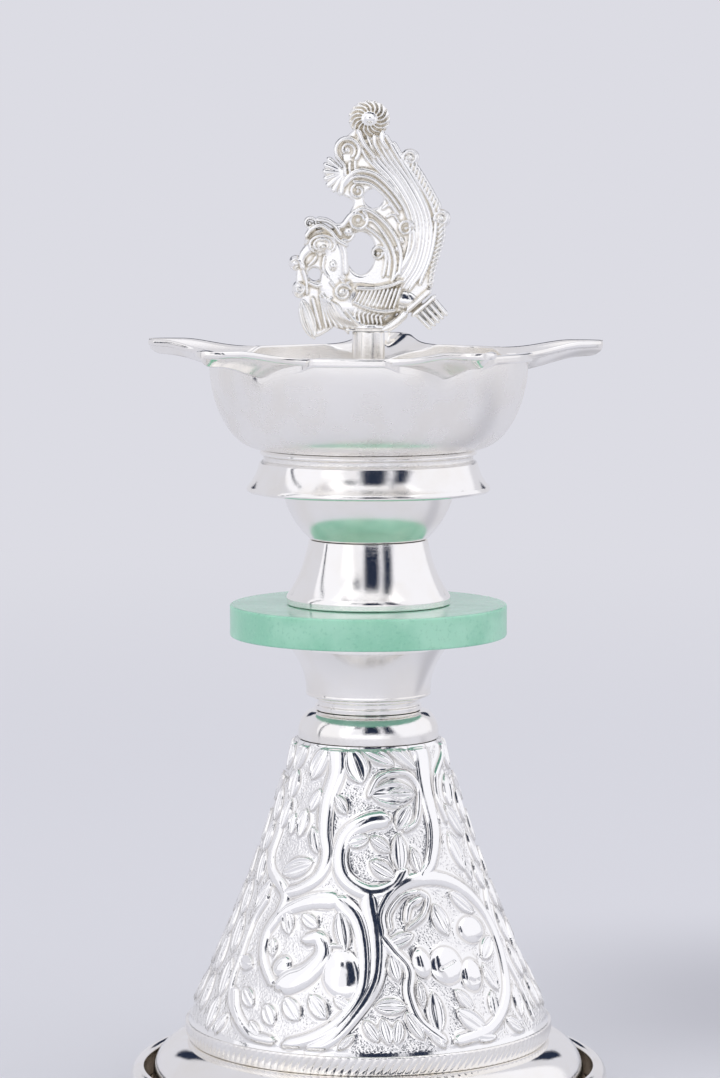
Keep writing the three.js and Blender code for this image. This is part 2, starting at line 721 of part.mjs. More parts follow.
// Web of the tail: one flat plate under the plumes, open at the tail's eye and between neck and tail.
function tailWeb() {
  const crown = [2, 50];
  const back = [[7.5, 44], [11.5, 40], [16.5, 31], [17.8, 25], [16, 17], [14, 9.5], [9, 5], [0, 4]];
  const breast = [[-8, 8], [-8.6, 16], [-9.5, 24], [-5.5, 26], [-2.5, 28.5]];
  const front = [[-3.6, 32], [-8.5, 37], [-9.8, 40], [-7.4, 46], [-3, 50], crown];
  const outline = new THREE.Shape();
  outline.moveTo(...crown);
  outline.splineThru([...back, ...breast, ...front].map((p) => new THREE.Vector2(...p)));
  const hole = (x, h, radiusX, radiusH) => {
    outline.holes.push(new THREE.Path().absellipse(x, h, radiusX, radiusH, 0, 2 * Math.PI, false));
  };
  hole(1.3, 33, 2.3, 2.3);
  hole(-2, 18.9, 3.4, 4.9);
  const settings = { depth: 2 * PEACOCK_WEB_HALF, bevelEnabled: false, curveSegments: 3 };
  const plate = new THREE.ExtrudeGeometry(outline, settings).rotateX(Math.PI / 2);
  return solidOf(plate.translate(0, PEACOCK_WEB_HALF, 0));
}

// Web of the breast: one flat plate behind the head, the neck and the bead chain, open once under the beak.
function breastWeb() {
  const crown = [-9, 26];
  const beak = [[-13.5, 25], [-15.8, 21.5], [-17.6, 17.5]];
  const chain = [[-18.4, 12], [-17, 8], [-16.6, 4], [-15, 0], [-13.6, -1.6]];
  const breast = [[-11, -0.6], [-8, 2], [-6, 8], [-6, 16], [-5.5, 22], [-6.5, 25.5], crown];
  const outline = new THREE.Shape();
  outline.moveTo(...crown);
  outline.splineThru([...beak, ...chain, ...breast].map((p) => new THREE.Vector2(...p)));
  outline.holes.push(new THREE.Path().absarc(-13.1, 14.2, 1.5, 0, 2 * Math.PI, false));
  const settings = { depth: 2 * PEACOCK_WEB_HALF, bevelEnabled: false, curveSegments: 2 };
  const plate = new THREE.ExtrudeGeometry(outline, settings).rotateX(Math.PI / 2);
  return solidOf(plate.translate(0, PEACOCK_WEB_HALF, 0));
}

// Plumes leave the crown and the tail's eye, sweep down the outer edge and come back to the body.
function plumes() {
  const long = [
    [[0.3, 49], [4.6, 42.8], [10.6, 35], [14.4, 28], [15, 22], [12.6, 15], [8.9, 10]],
    [[-2, 48.5], [2, 43.7], [7.9, 36.3], [12, 29.8], [12.9, 23.2], [10.4, 15.4], [6, 10]],
    [[-1, 43], [4.4, 38.2], [8.4, 33], [10.8, 27.3], [10.8, 22], [8.3, 15.8], [4, 10.5]],
  ];
  const short = [
    [[-6, 35], [-3, 38.2], [1.3, 37.4], [5.2, 33.2], [8.2, 28]],
    [[-1.6, 29.6], [2, 28.6], [5.4, 24], [7.2, 19], [7.2, 13]],
    [[-0.5, 26.6], [2.8, 24.4], [5, 20], [5.4, 14], [3.4, 10.4]],
  ];
  return [
    ...long.map((path) => stroke(path, [1, 1], PEACOCK_PLUME_HALF, 8)),
    ...short.map((path) => stroke(path, [1, 0.8], PEACOCK_PLUME_HALF, 6)),
  ];
}

// Edging outside the plumes with its two bosses, fluted crown, shell, eye rosette and scrolls.
function tailTrim() {
  const thick = PEACOCK_PLUME_HALF;
  const bosses = [[10.3, 42.8], [18.1, 28.1]];
  const crown = [0.6, 52.3];
  const eye = [-5.3, 44.9];
  return [
    stroke([[9, 43.4], [12.3, 39.4], [17.2, 30.6]], [1.3, 1.3], PEACOCK_EDGE_HALF),
    stroke([[18.3, 27], [18, 23], [16.2, 17], [15.2, 11]], [1.3, 1.2], PEACOCK_EDGE_HALF),
    ...bosses.map((boss) => lump(boss, [2.1, 2.1], PEACOCK_BOSS_HALF)),
    fluted(crown, 4.8, 0.8, 14, [0, 360], thick),
    lump(crown, [2, 2], PEACOCK_BOSS_HALF),
    fluted([-5, 39.8], 6.2, 0.9, 6, [145, 265], PEACOCK_TAIL_HALF),
    scroll(eye, 2.6, 1, 0, 0.8, thick),
    lump(eye, [1.4, 1.4], PEACOCK_BOSS_HALF, 6),
    stroke([[-5, 42.4], [-5.2, 38.6]], [0.9, 0.6], thick, 4),
    scroll([-2.6, 27.3], 2.1, -1, 80, 0.8, thick),
    scroll([2.3, 19.3], 1.7, -1, 60, 0.7, PEACOCK_TAIL_HALF),
    scroll([9.3, 25.7], 1.7, -1, 90, 0.7, PEACOCK_TAIL_HALF),
    scroll([-3.2, 34.7], 1.7, 1, 90, 0.7, PEACOCK_TAIL_HALF),
  ];
}

// Head with its crest and beak, and the bead chain that hangs from the beak.
function head() {
  const thick = PEACOCK_EDGE_HALF;
  const beads = [[-17.3, 10.6], [-15.4, 6], [-14.4, 1.6], [-18, 17.1]];
  return [
    lump([-11.5, 21.8], [3.7, 3], PEACOCK_NECK_HALF),
    scroll([-14.2, 26.2], 1.5, -1, -60, 0.6, PEACOCK_WEB_HALF),
    stroke([[-14, 25], [-10.5, 26.4], [-7, 24.8], [-3.5, 27]], [0.9, 1.3], PEACOCK_TAIL_HALF, 6),
    stroke([[-14, 20.6], [-16.4, 18.6], [-17.4, 16]], [1.6, 0.8], PEACOCK_TAIL_HALF),
    stroke([[-11, 20], [-12.6, 17.2], [-11.4, 14]], [1.4, 1.2], PEACOCK_TAIL_HALF, 4),
    stroke([[-16.6, 16.2], ...beads.slice(0, 3), [-13.2, -2]], [1.3, 0.6], PEACOCK_WEB_HALF, 6),
    ...beads.map((bead) => lump(bead, [1.8, 1.8], PEACOCK_BEAD_HALF)),
    stroke([[-17, 11.6], [-13, 11.4], [-9, 7]], [1.2, 2.6], thick),
  ];
}

// Neck, body, folded wing, and the short tail with its fan of feathers.
function body() {
  const thick = PEACOCK_BODY_HALF;
  const fanRoot = [10.4, 8];
  const feathers = Array.from({ length: 4 }, (_, k) => {
    const angle = degToRad(-62 + 14 * k);
    const tip = [11 + 9 * Math.cos(angle), 8.4 + 8.6 * Math.sin(angle)];
    return stroke([fanRoot, tip], [1, 1.2], PEACOCK_TAIL_HALF, 3);
  });
  return [
    stroke([[-9, 23.4], [-7.2, 18], [-8.2, 13], [-7, 6]], [2.3, 4.4], PEACOCK_NECK_HALF, 6, 7),
    lump([-2.4, 6.7], [9.6, 6], thick, 12),
    lump([-6.7, 9.7], [2.6, 2.6], thick),
    stroke([[-4.6, 8.6], [1, 9.2], [7.4, 11.6]], [1.8, 0.8], thick, 6),
    stroke([[-5, 5.6], [-1, 2.6], [4.6, 3]], [1.8, 0.7], thick, 6),
    stroke([[5, 8.6], [10.6, 7]], [3.4, 2.6], PEACOCK_BOSS_HALF, 4),
    ...feathers,
  ];
}

// The whole casting on its round base, which stands on the post.
function peacockGeometry() {
  const parts = [tailWeb(), breastWeb(), ...plumes(), ...tailTrim(), ...head(), ...body()];
  const drawn = geometryOf(parts.reduce((sum, part) => sum.add(part)).simplify(PEACOCK_MERGE));
  drawn.computeBoundingBox();
  const grow = PEACOCK_HEIGHT / drawn.boundingBox.max.z;
  const base = turned(
    [
      [0, SEAT],
      [PEACOCK_BASE_RADIUS, SEAT],
      [PEACOCK_BASE_RADIUS, SEAT + PEACOCK_BASE_HEIGHT],
      [0, SEAT + PEACOCK_BASE_HEIGHT],
    ],
    HIDDEN,
  );
  return geometryOf(solidOf(drawn.scale(grow, 1, grow)).add(solidOf(base)));
}

piece("peacock", peacockGeometry(), castSilver).position.z = postTop;

export default lamp;
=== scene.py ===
"""Standing oil lamp in silver plate: base, embossed cone, stone disc, oil dish with wick spouts, peacock.

Sizes are millimetres in this file and become metres when a mesh is made. The lamp's axis is Z, the peacock
faces -X, and the camera stands on the -Y side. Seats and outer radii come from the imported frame.
"""

from __future__ import annotations

import logging
import math
from dataclasses import dataclass, field
from enum import Enum

import bmesh
import bpy
import numpy as np
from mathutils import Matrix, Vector


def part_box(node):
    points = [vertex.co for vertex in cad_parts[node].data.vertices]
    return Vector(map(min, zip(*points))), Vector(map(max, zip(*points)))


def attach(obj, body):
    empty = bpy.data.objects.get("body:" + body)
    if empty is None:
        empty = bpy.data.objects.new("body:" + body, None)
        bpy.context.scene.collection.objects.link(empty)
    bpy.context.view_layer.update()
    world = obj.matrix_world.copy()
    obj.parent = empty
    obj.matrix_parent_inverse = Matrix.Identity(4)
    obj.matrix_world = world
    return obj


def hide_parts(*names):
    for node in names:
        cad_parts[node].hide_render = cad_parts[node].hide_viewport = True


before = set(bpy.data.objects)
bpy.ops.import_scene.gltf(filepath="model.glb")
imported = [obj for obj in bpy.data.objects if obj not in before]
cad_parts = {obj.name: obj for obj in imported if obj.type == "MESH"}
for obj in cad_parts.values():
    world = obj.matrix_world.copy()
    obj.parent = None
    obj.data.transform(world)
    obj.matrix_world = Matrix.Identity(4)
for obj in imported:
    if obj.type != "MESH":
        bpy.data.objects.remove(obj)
log = logging.getLogger("oil_lamp")

MM = 0.001
ROUND = 224
RIM_ROUND = 288
BORE = 2.3
RECESS_RADIUS = 12.2
RECESS_DEPTH = 0.9
Array = np.ndarray
Pair = tuple[float, float]
Colour = tuple[float, float, float, float]


# Profiles and surfaces


def arc(centre: Pair, radii: Pair, start: float, end: float, steps: int) -> Array:
    """Rows of radius and height on an elliptical arc: the centre, plus radii times cosine and sine."""
    angle = np.radians(np.linspace(start, end, steps + 1))
    return np.column_stack((centre[0] + radii[0] * np.cos(angle), centre[1] + radii[1] * np.sin(angle)))


def bend(start: Pair, pull: Pair, end: Pair, steps: int) -> Array:
    """Points of a quadratic curve: start, pull and end weighted by (1-t)^2, 2t(1-t) and t^2."""
    t = np.linspace(0.0, 1.0, steps + 1)[:, None]
    return (1 - t) ** 2 * np.array(start) + 2 * t * (1 - t) * np.array(pull) + t**2 * np.array(end)


def smooth(value: Array | float, low: float, high: float) -> Array:
    """Smoothstep: 3t^2 - 2t^3 of the value's place t between low and high, held at 0 and 1 outside."""
    t = np.clip((np.asarray(value, float) - low) / (high - low), 0.0, 1.0)
    return t * t * (3 - 2 * t)


def spline(points: Array, samples: int) -> Array:
    """Catmull-Rom curve through the points, evenly sampled in its parameter.

    Between two points the cubic takes half the chord of their neighbours as its slope at each end.

    Args:
        points: Control points, one row each.
        samples: Number of samples over the whole curve.

    Returns:
        The sampled points.
    """
    knots = np.asarray(points, float)
    padded = np.vstack((2 * knots[0] - knots[1], knots, 2 * knots[-1] - knots[-2]))
    t = np.linspace(0, len(knots) - 1, samples)
    i = np.minimum(t.astype(int), len(knots) - 2)
    f = (t - i)[:, None]
    a, b, c, d = (padded[i + k] for k in range(4))
    return 0.5 * (2 * b + (c - a) * f + (2 * a - 5 * b + 4 * c - d) * f**2 + (3 * b - a - 3 * c + d) * f**3)


@dataclass(frozen=True)
class Outline:
    """Makes closed outlines of [radius, height] rows, in which any corner may be rounded.

    Each rounding has a number of stretches and takes up at most a share of the shorter side beside it. One
    more point lies at the hold's distance before and after it, so that shading stays flat on the sides.
    """

    stretches: int = 6
    hold: float = 0.04
    side_share: float = 0.45

    def __call__(self, *parts: tuple[float, float, float] | Array) -> Array:
        """Rows of the outline, anticlockwise, each rounding a quadratic curve whose pull is the corner.

        Args:
            parts: Corners as radius, height and how far along each side the rounding starts, and the points
                of smooth stretches, in order.

        Returns:
            An array of [radius, height] rows.
        """
        rows = [[part] if isinstance(part, tuple) else np.pad(part, ((0, 0), (0, 1))) for part in parts]
        raw = np.vstack(rows)
        corners, cut = raw[:, :2], raw[:, 2]
        before, after = np.roll(corners, 1, 0) - corners, np.roll(corners, -1, 0) - corners
        reach_before = np.linalg.norm(before, axis=1)
        reach_after = np.linalg.norm(after, axis=1)
        cut = np.minimum(cut, self.side_share * np.minimum(reach_before, reach_after))
        before /= reach_before[:, None]
        after /= reach_after[:, None]
        t = np.linspace(0, 1, self.stretches + 1)[None, :, None]
        start = (corners + before * cut[:, None])[:, None]
        end = (corners + after * cut[:, None])[:, None]
        turn = (1 - t) ** 2 * start + 2 * t * (1 - t) * corners[:, None] + t**2 * end
        aside = np.minimum(self.hold, cut / 3)[:, None, None]
        first = start + before[:, None] * aside
        last = end + after[:, None] * aside
        every = np.concatenate((first, turn, last), axis=1)
        keep = np.ones(every.shape[:2], bool)
        keep[cut < 1e-6, 1:] = False
        points = every[keep]
        x, z = points.T
        area = np.sum(x * np.roll(z, -1) - np.roll(x, -1) * z)
        return points if area > 0 else points[::-1]


rounded = Outline()


def grid_faces(rows: int, columns: int, wrap_rows: bool, wrap_columns: bool) -> Array:
    """Quads of a grid of points stored row by row; their normals point along column step times row step.

    Args:
        rows: Number of rows.
        columns: Number of columns.
        wrap_rows: Whether the last row joins the first.
        wrap_columns: Whether the last column joins the first.

    Returns:
        One row of four point indices for each face.
    """
    i = np.arange(rows if wrap_rows else rows - 1)[:, None]
    j = np.arange(columns if wrap_columns else columns - 1)[None, :]
    up, over = (i + 1) % rows, (j + 1) % columns
    corners = [i * columns + j, i * columns + over, up * columns + over, up * columns + j]
    return np.stack([np.broadcast_to(k, (i.size, j.size)) for k in corners], axis=-1).reshape(-1, 4)


def around(radius: Array, height: Array, angle: Array) -> Array:
    """Points [x, y, z] round the axis: radius times cosine and sine of the angle, and the height."""
    return np.stack((radius * np.cos(angle), radius * np.sin(angle), height + 0 * radius * angle), axis=-1)


def turned(outline: Array, facets: int) -> tuple[Array, Array]:
    """Points and faces of a closed outline turned about the axis.

    Args:
        outline: Rows of radius and height.
        facets: Steps round the axis.

    Returns:
        The points, and faces of point numbers.
    """
    angle = 2 * math.pi * np.arange(facets) / facets
    points = around(outline[:, 0, None], outline[:, 1, None], angle)
    return points.reshape(-1, 3), grid_faces(len(outline), facets, True, True)


def make_piece(name: str, points: Array, faces: Array | list, extra: list | None = None) -> bpy.types.Object:
    """Makes a smooth mesh object at the origin.

    Args:
        name: The piece's name.
        points: Millimetre points, one row each.
        faces: Quads or triangles as rows of indices.
        extra: More faces of any length.

    Returns:
        The new object.
    """
    mesh = bpy.data.meshes.new(name)
    every = [tuple(row) for row in np.asarray(faces).tolist()] + [tuple(row) for row in (extra or [])]
    mesh.from_pydata((np.asarray(points) * MM).tolist(), [], every)
    mesh.polygons.foreach_set("use_smooth", np.ones(len(mesh.polygons), bool))
    mesh.validate()
    mesh.update()
    made = bpy.data.objects.new(name, mesh)
    bpy.context.scene.collection.objects.link(made)
    return made


def weld(piece: bpy.types.Object, distance: float) -> None:
    """Merges points of a mesh that lie closer than a distance in millimetres.

    Args:
        piece: Piece whose mesh is mended.
        distance: Largest gap that is closed.
    """
    work = bmesh.new()
    work.from_mesh(piece.data)
    bmesh.ops.remove_doubles(work, verts=work.verts, dist=distance * MM)
    work.to_mesh(piece.data)
    work.free()


def paint(piece: bpy.types.Object, name: str, values: Array) -> None:
    """Stores one number per point as an attribute that a material reads."""
    attribute = piece.data.attributes.new(name, "FLOAT", "POINT")
    attribute.data.foreach_set("value", np.asarray(values, np.float32).ravel())


# Relief: height fields drawn with strokes, leaves and lumps


def nearest(path: Array, x: Array, y: Array) -> tuple[Array, Array]:
    """Signed distance from places to a polyline, and the length along it to the nearest point.

    On each stretch the place is dropped at right angles, held between the stretch's ends, and the closest
    stretch wins. The sign is positive on the left of the path.

    Args:
        path: The polyline's points.
        x: First coordinate of each place.
        y: Second coordinate of each place.

    Returns:
        The signed distances and the lengths along the path.
    """
    start, step = path[:-1], np.diff(path, axis=0)
    length = np.maximum(np.linalg.norm(step, axis=1), 1e-9)
    travelled = np.concatenate(([0.0], np.cumsum(length)[:-1]))
    dx, dy = x[:, None] - start[:, 0], y[:, None] - start[:, 1]
    share = np.clip((dx * step[:, 0] + dy * step[:, 1]) / length**2, 0, 1)
    off_x, off_y = dx - share * step[:, 0], dy - share * step[:, 1]
    away = np.hypot(off_x, off_y)
    best = np.argmin(away, axis=1)
    rows = np.arange(len(x))
    side = np.sign(step[best, 0] * dy[rows, best] - step[best, 1] * dx[rows, best])
    side[side == 0] = 1
    return away[rows, best] * side, travelled[best] + share[rows, best] * length[best]


class Marks(Enum):
    """What runs along a stroke's surface."""

    PLAIN = "plain"
    ROPE = "rope"


CURVE_SAMPLES = 10
EDGE_SAMPLES = 8
VOLUTE_POINTS = 14
FAR_OUTSIDE = -9.0
ROPE_SLANT = 0.9
LEAF_BLADE = 0.62
LEAF_RIM = 0.5
LEAF_RIM_PLACE = 0.78
PLATE_ROUNDING = 0.5
VOLUTE_LOSS = 0.45
GROOVE_LIMIT = 0.3


@dataclass
class Relief:
    """A height field over places [x, y] in millimetres. Each form raises it where it is higher.

    It also holds how far inside a form each place lies, which is followed outside the forms as far as the
    halo. The fullness shapes the section of the strokes.
    """

    x: Array
    y: Array
    halo: float = 0.0
    fullness: float = 2.0
    height: Array = field(init=False)
    inside: Array = field(init=False)

    def __post_init__(self) -> None:
        """Starts flat, with nothing inside any form."""
        self.height = np.zeros(self.x.shape)
        self.inside = np.full(self.x.shape, FAR_OUTSIDE)

    def _window(self, points: Array, margin: float) -> tuple[Array, ...]:
        """Places within a margin and the halo of the points' box, as an index."""
        low, high = points.min(0) - margin - self.halo, points.max(0) + margin + self.halo
        return np.nonzero((self.x > low[0]) & (self.x < high[0]) & (self.y > low[1]) & (self.y < high[1]))

    def _raise(self, where: tuple[Array, ...], height: Array, inside: Array) -> None:
        """Lifts the field to the given height where the form reaches, and widens the inside.

        Args:
            where: Rows and columns of the places that the form may reach.
            height: The form's height at each of them.
            inside: How far inside the form each lies, as stored in the field.
        """
        taken = np.where(inside > 0, height, 0.0)
        self.height[where] = np.maximum(self.height[where], taken)
        self.inside[where] = np.maximum(self.inside[where], inside)

    def stroke(
        self,
        path: list[Pair] | Array,
        widths: Pair,
        height: float,
        marks: Marks = Marks.PLAIN,
        pitch: float = 1.0,
        base: float = 0.0,
        ends: float = 0.5,
    ) -> None:
        """A rounded ridge along a curve.

        With q the distance over the half width and n the relief's fullness, the section is the square root
        of 1 - q^n. Rope cuts slanted grooves down to half the height, as the absolute cosine of the place.

        Args:
            path: Control points of the curve.
            widths: Half widths at its start and end.
            height: Height of its crest over the base.
            marks: What runs along its surface.
            pitch: Spacing of those marks.
            base: Height of its foot.
            ends: Share of the half width that its round ends keep.
        """
        line = spline(np.array(path, float), CURVE_SAMPLES * len(path))
        where = self._window(line, max(widths) + 0.2)
        if not len(where[0]):
            return
        away, along = nearest(line, self.x[where], self.y[where])
        total = np.linalg.norm(np.diff(line, axis=0), axis=1).sum()
        share = along / total
        half = widths[0] + (widths[1] - widths[0]) * share
        taper = np.clip(np.minimum(along, total - along) / np.maximum(half, 1e-6), 0, 1)
        half = half * (ends + (1 - ends) * np.sqrt(1 - (1 - taper) ** 2))
        q = np.clip(np.abs(away) / half, 0, 1)
        rise = height * np.sqrt(1 - q**self.fullness)
        if marks is Marks.ROPE:
            rise *= 0.5 + 0.5 * np.abs(np.cos(math.pi * (along + ROPE_SLANT * away) / pitch))
        self._raise(where, base + rise, half - np.abs(away))

    def ridges(self, *rows: tuple) -> None:
        """Plain strokes as rows of the two half widths, the height, the base, then the curve's points."""
        for start, end, height, base, *path in rows:
            self.stroke(path, (start, end), height, base=base)

    def lump(self, centre: Pair, sizes: Pair, height: float, turn: float = 0.0) -> None:
        """Half an ellipsoid: with q the distance in half sizes, the height is the root of 1 - q^2.

        Args:
            centre: Its middle.
            sizes: Half sizes along its own axes.
            height: Height of its top.
            turn: Degrees by which its first axis is turned.
        """
        middle = np.array([centre], float)
        where = self._window(middle, max(sizes) + 0.1)
        a = math.radians(turn)
        dx, dy = self.x[where] - centre[0], self.y[where] - centre[1]
        u = (dx * math.cos(a) + dy * math.sin(a)) / sizes[0]
        v = (dy * math.cos(a) - dx * math.sin(a)) / sizes[1]
        q = np.hypot(u, v)
        self._raise(where, height * np.sqrt(np.clip(1 - q**2, 0, 1)), (1 - q) * min(sizes))

    def leaf(self, root: Pair, tip: Pair, half_width: float, height: float, ribs: float = 0.5) -> None:
        """An almond leaf with a raised rim, a dished blade and a midrib.

        Along the leaf, p runs from -1 to 1 and the half width is its full value times (1 - p^2)^0.75. Across
        it, q is the distance over that half width: the blade is the root of 1 - q^2, and the rim is a bell
        close to the edge. The midrib is a bell on the middle line that dies out at both ends.

        Args:
            root: Where the leaf starts.
            tip: Where it ends.
            half_width: Half its greatest width.
            height: Height of its rim.
            ribs: Height of the midrib over the blade, as a share.
        """
        ends = np.array([root, tip], float)
        where = self._window(ends, half_width)
        middle, reach = ends.mean(0), np.linalg.norm(ends[1] - ends[0]) / 2
        ux, uy = (ends[1] - ends[0]) / (2 * reach)
        dx, dy = self.x[where] - middle[0], self.y[where] - middle[1]
        p = np.clip((dx * ux + dy * uy) / reach, -1, 1)
        v = np.abs(dy * ux - dx * uy)
        beyond = np.clip(np.abs(dx * ux + dy * uy) - reach, 0, None)
        half = half_width * (1 - p**2) ** 0.75 + 1e-6
        q = np.clip(v / half, 0, 1)
        blade = LEAF_BLADE * np.sqrt(1 - q**2)
        rim = LEAF_RIM * np.exp(-(((q - LEAF_RIM_PLACE) / 0.15) ** 2))
        rib = ribs * np.exp(-((v / (0.16 * half_width)) ** 2)) * (1 - p**2)
        within = np.where(beyond > 0, -np.hypot(beyond, v), half - v)
        self._raise(where, height * (blade + rim + 0.5 * rib), within)

    def area(self, edge: list[Pair], height: float, holes: list[tuple]) -> None:
        """A flat plate inside a smooth closed edge, open at its elliptical holes.

        The distance to the edge is positive inside, where a line to the right crosses the edge an odd number
        of times. The plate rounds off close to its edge, as the root of the distance.

        Args:
            edge: Points of the edge, in order.
            height: Height of the plate.
            holes: Rows of centre x, centre y, half width and half height.
        """
        line = spline(np.array([*edge, edge[0]], float), EDGE_SAMPLES * len(edge))
        where = self._window(line, 0.3)
        x, y = self.x[where], self.y[where]
        away, _ = nearest(line, x, y)
        first, second = line[:-1], line[1:]
        spans = (first[:, 1] > y[:, None]) != (second[:, 1] > y[:, None])
        rise = np.where(second[:, 1] == first[:, 1], 1e-9, second[:, 1] - first[:, 1])
        crossing = first[:, 0] + (y[:, None] - first[:, 1]) / rise * (second[:, 0] - first[:, 0])
        within = np.sum(spans & (x[:, None] < crossing), axis=1) % 2 == 1
        inside = np.where(within, np.abs(away), -np.abs(away))
        for centre_x, centre_y, half_x, half_y in holes:
            q = np.hypot((x - centre_x) / half_x, (y - centre_y) / half_y)
            inside = np.minimum(inside, (q - 1) * min(half_x, half_y))
        shoulder = np.sqrt(np.clip(inside / PLATE_ROUNDING, 0, 1))
        self._raise(where, height * (0.5 + 0.5 * shoulder), inside)

    def volute(
        self,
        centre: Pair,
        radius: float,
        start: float,
        turns: float,
        half_width: float,
        height: float,
        base: float,
        ball: float,
    ) -> None:
        """A stroke that winds inwards, its radius falling evenly with the angle, round a ball in its eye.

        Args:
            centre: The eye of the spiral.
            radius: Radius at its outer end.
            start: Angle of its outer end in degrees.
            turns: Turns it makes, negative for clockwise.
            half_width: Half its width.
            height: Height of its crest over the base.
            base: Height of its foot.
            ball: Radius of the ball.
        """
        t = np.linspace(0, 1, VOLUTE_POINTS)
        angle = math.radians(start) + 2 * math.pi * turns * t
        reach = radius * (1 - VOLUTE_LOSS * t)
        path = np.column_stack((centre[0] + reach * np.cos(angle), centre[1] + reach * np.sin(angle)))
        self.stroke(path, (half_width, 0.8 * half_width), height, base=base)
        self.lump(centre, (ball, ball), base + 1.3 * height)

    def groove(self, path: list[Pair], half_width: float, depth: float) -> None:
        """Cuts a groove along a curve: a cosine bell of the given depth that leaves a share of the height.

        Args:
            path: Points that the curve goes through.
            half_width: Reach on either side of the curve.
            depth: Depth in the middle, in millimetres.
        """
        line = spline(np.array(path, float), CURVE_SAMPLES * len(path))
        where = self._window(line, half_width)
        away, _ = nearest(line, self.x[where], self.y[where])
        bell = 0.5 + 0.5 * np.cos(math.pi * np.clip(np.abs(away) / half_width, 0, 1))
        least = GROOVE_LIMIT * self.height[where]
        self.height[where] = np.maximum(self.height[where] - depth * bell, least)


# Shading: sockets with arithmetic, and the finishes


@dataclass
class Signal:
    """A shader socket that takes part in Python arithmetic."""

    graph: Graph
    socket: bpy.types.NodeSocket

    def _with(self, operation: str, other: Signal | float, swapped: bool = False) -> Signal:
        """A Math node on this socket and another value."""
        pair = (other, self) if swapped else (self, other)
        return self.graph.node("ShaderNodeMath", {"operation": operation}, {0: pair[0], 1: pair[1]})

    def __add__(self, other: Signal | float) -> Signal:
        """Sum."""
        return self._with("ADD", other)

    __radd__ = __add__

    def __mul__(self, other: Signal | float) -> Signal:
        """Product."""
        return self._with("MULTIPLY", other)

    __rmul__ = __mul__

    def __sub__(self, other: Signal | float) -> Signal:
        """Difference."""
        return self._with("SUBTRACT", other)

    def __rsub__(self, other: float) -> Signal:
        """A number minus this value."""
        return self._with("SUBTRACT", other, swapped=True)

    def between(self, low: float, high: float) -> Signal:
        """Smooth step from 0 at one value to 1 at the other."""
        settings = {"interpolation_type": "SMOOTHSTEP"}
        return self.graph.node("ShaderNodeMapRange", settings, {0: self, 1: low, 2: high})


class Graph:
    """Node tree of one material or of the world, built by one method."""

    def __init__(self, name: str, world: bpy.types.World | None = None) -> None:
        """Empties the world's tree where one is given, and otherwise makes a material.

        Args:
            name: Name of the new material.
            world: World whose tree is used, if any.
        """
        self.material = world or bpy.data.materials.new(name)
        self.material.use_nodes = True
        self.tree = self.material.node_tree
        self.tree.nodes.clear()
        self.output = self.tree.nodes.new("ShaderNodeOutputWorld" if world else "ShaderNodeOutputMaterial")

    def node(
        self,
        kind: str,
        settings: dict | None = None,
        inputs: dict | None = None,
        out: int | str = 0,
    ) -> Signal:
        """Adds a node, sets it up, then fills its sockets.

        Args:
            kind: The node's type.
            settings: Node properties by name.
            inputs: Values or signals by socket name or number.
            out: Which output to return.

        Returns:
            The chosen output as a signal.
        """
        made = self.tree.nodes.new(kind)
        for key, value in (settings or {}).items():
            setattr(made, key, value)
        for key, value in (inputs or {}).items():
            if isinstance(value, Signal):
                self.tree.links.new(value.socket, made.inputs[key])
            else:
                made.inputs[key].default_value = value
        return Signal(self, made.outputs[out])

    def coordinates(self) -> Signal:
        """Object coordinates, which are the lamp's frame in metres."""
        return self.node("ShaderNodeTexCoord", out="Object")

    def noise(self, size_mm: float, detail: float, stretch: tuple[float, ...] = (1, 1, 1)) -> Signal:
        """Noise whose blotches are about size_mm across, and thinner along an axis by its stretch.

        Args:
            size_mm: Size of a blotch.
            detail: Number of finer layers.
            stretch: Factors on the three axes.

        Returns:
            The pattern, from 0 to 1.
        """
        scaled = self.node("ShaderNodeMapping", None, {0: self.coordinates(), 3: stretch})
        inputs = {0: scaled, "Scale": 1 / (size_mm * MM), "Detail": detail}
        return self.node("ShaderNodeTexNoise", None, inputs)

    def mix(self, factor: Signal | float, first: tuple | Signal, second: tuple | Signal) -> Signal:
        """Mixes two colours."""
        return self.node("ShaderNodeMix", {"data_type": "RGBA"}, {0: factor, 6: first, 7: second}, out=2)

    def seen(self) -> Signal:
        """1 for camera, glossy and transmission rays, which see the background, and 0 for the rest.

        Returns:
            The mask.
        """
        path = self.node("ShaderNodeLightPath", out="Is Camera Ray")
        others = [Signal(self, path.socket.node.outputs[k]) for k in ("Is Glossy Ray", "Is Transmission Ray")]
        return path + others[0] + others[1]

    def attribute(self, name: str) -> Signal:
        """A number stored on the mesh."""
        return self.node("ShaderNodeAttribute", {"attribute_name": name}, out="Fac")

    def bump(self, height: Signal, strength: float, step_mm: float, under: Signal | None = None) -> Signal:
        """Bumps the normal by a height pattern whose full step is step_mm.

        Args:
            height: Pattern of 0 to 1.
            strength: Share of the effect.
            step_mm: Height of a full step.
            under: Normal that is bumped, if not the surface's own.

        Returns:
            The bumped normal.
        """
        inputs = {"Strength": strength, "Distance": step_mm * MM, "Height": height}
        if under is not None:
            inputs["Normal"] = under
        return self.node("ShaderNodeBump", None, inputs)

    def finish(self, shader: Signal) -> bpy.types.Material:
        """Links the shader to the output and returns the material."""
        self.tree.links.new(shader.socket, self.output.inputs["Surface"])
        return self.material

    def principled(self, inputs: dict) -> bpy.types.Material:
        """Finishes the material with a Principled shader whose sockets are filled by name."""
        return self.finish(self.node("ShaderNodeBsdfPrincipled", None, inputs))


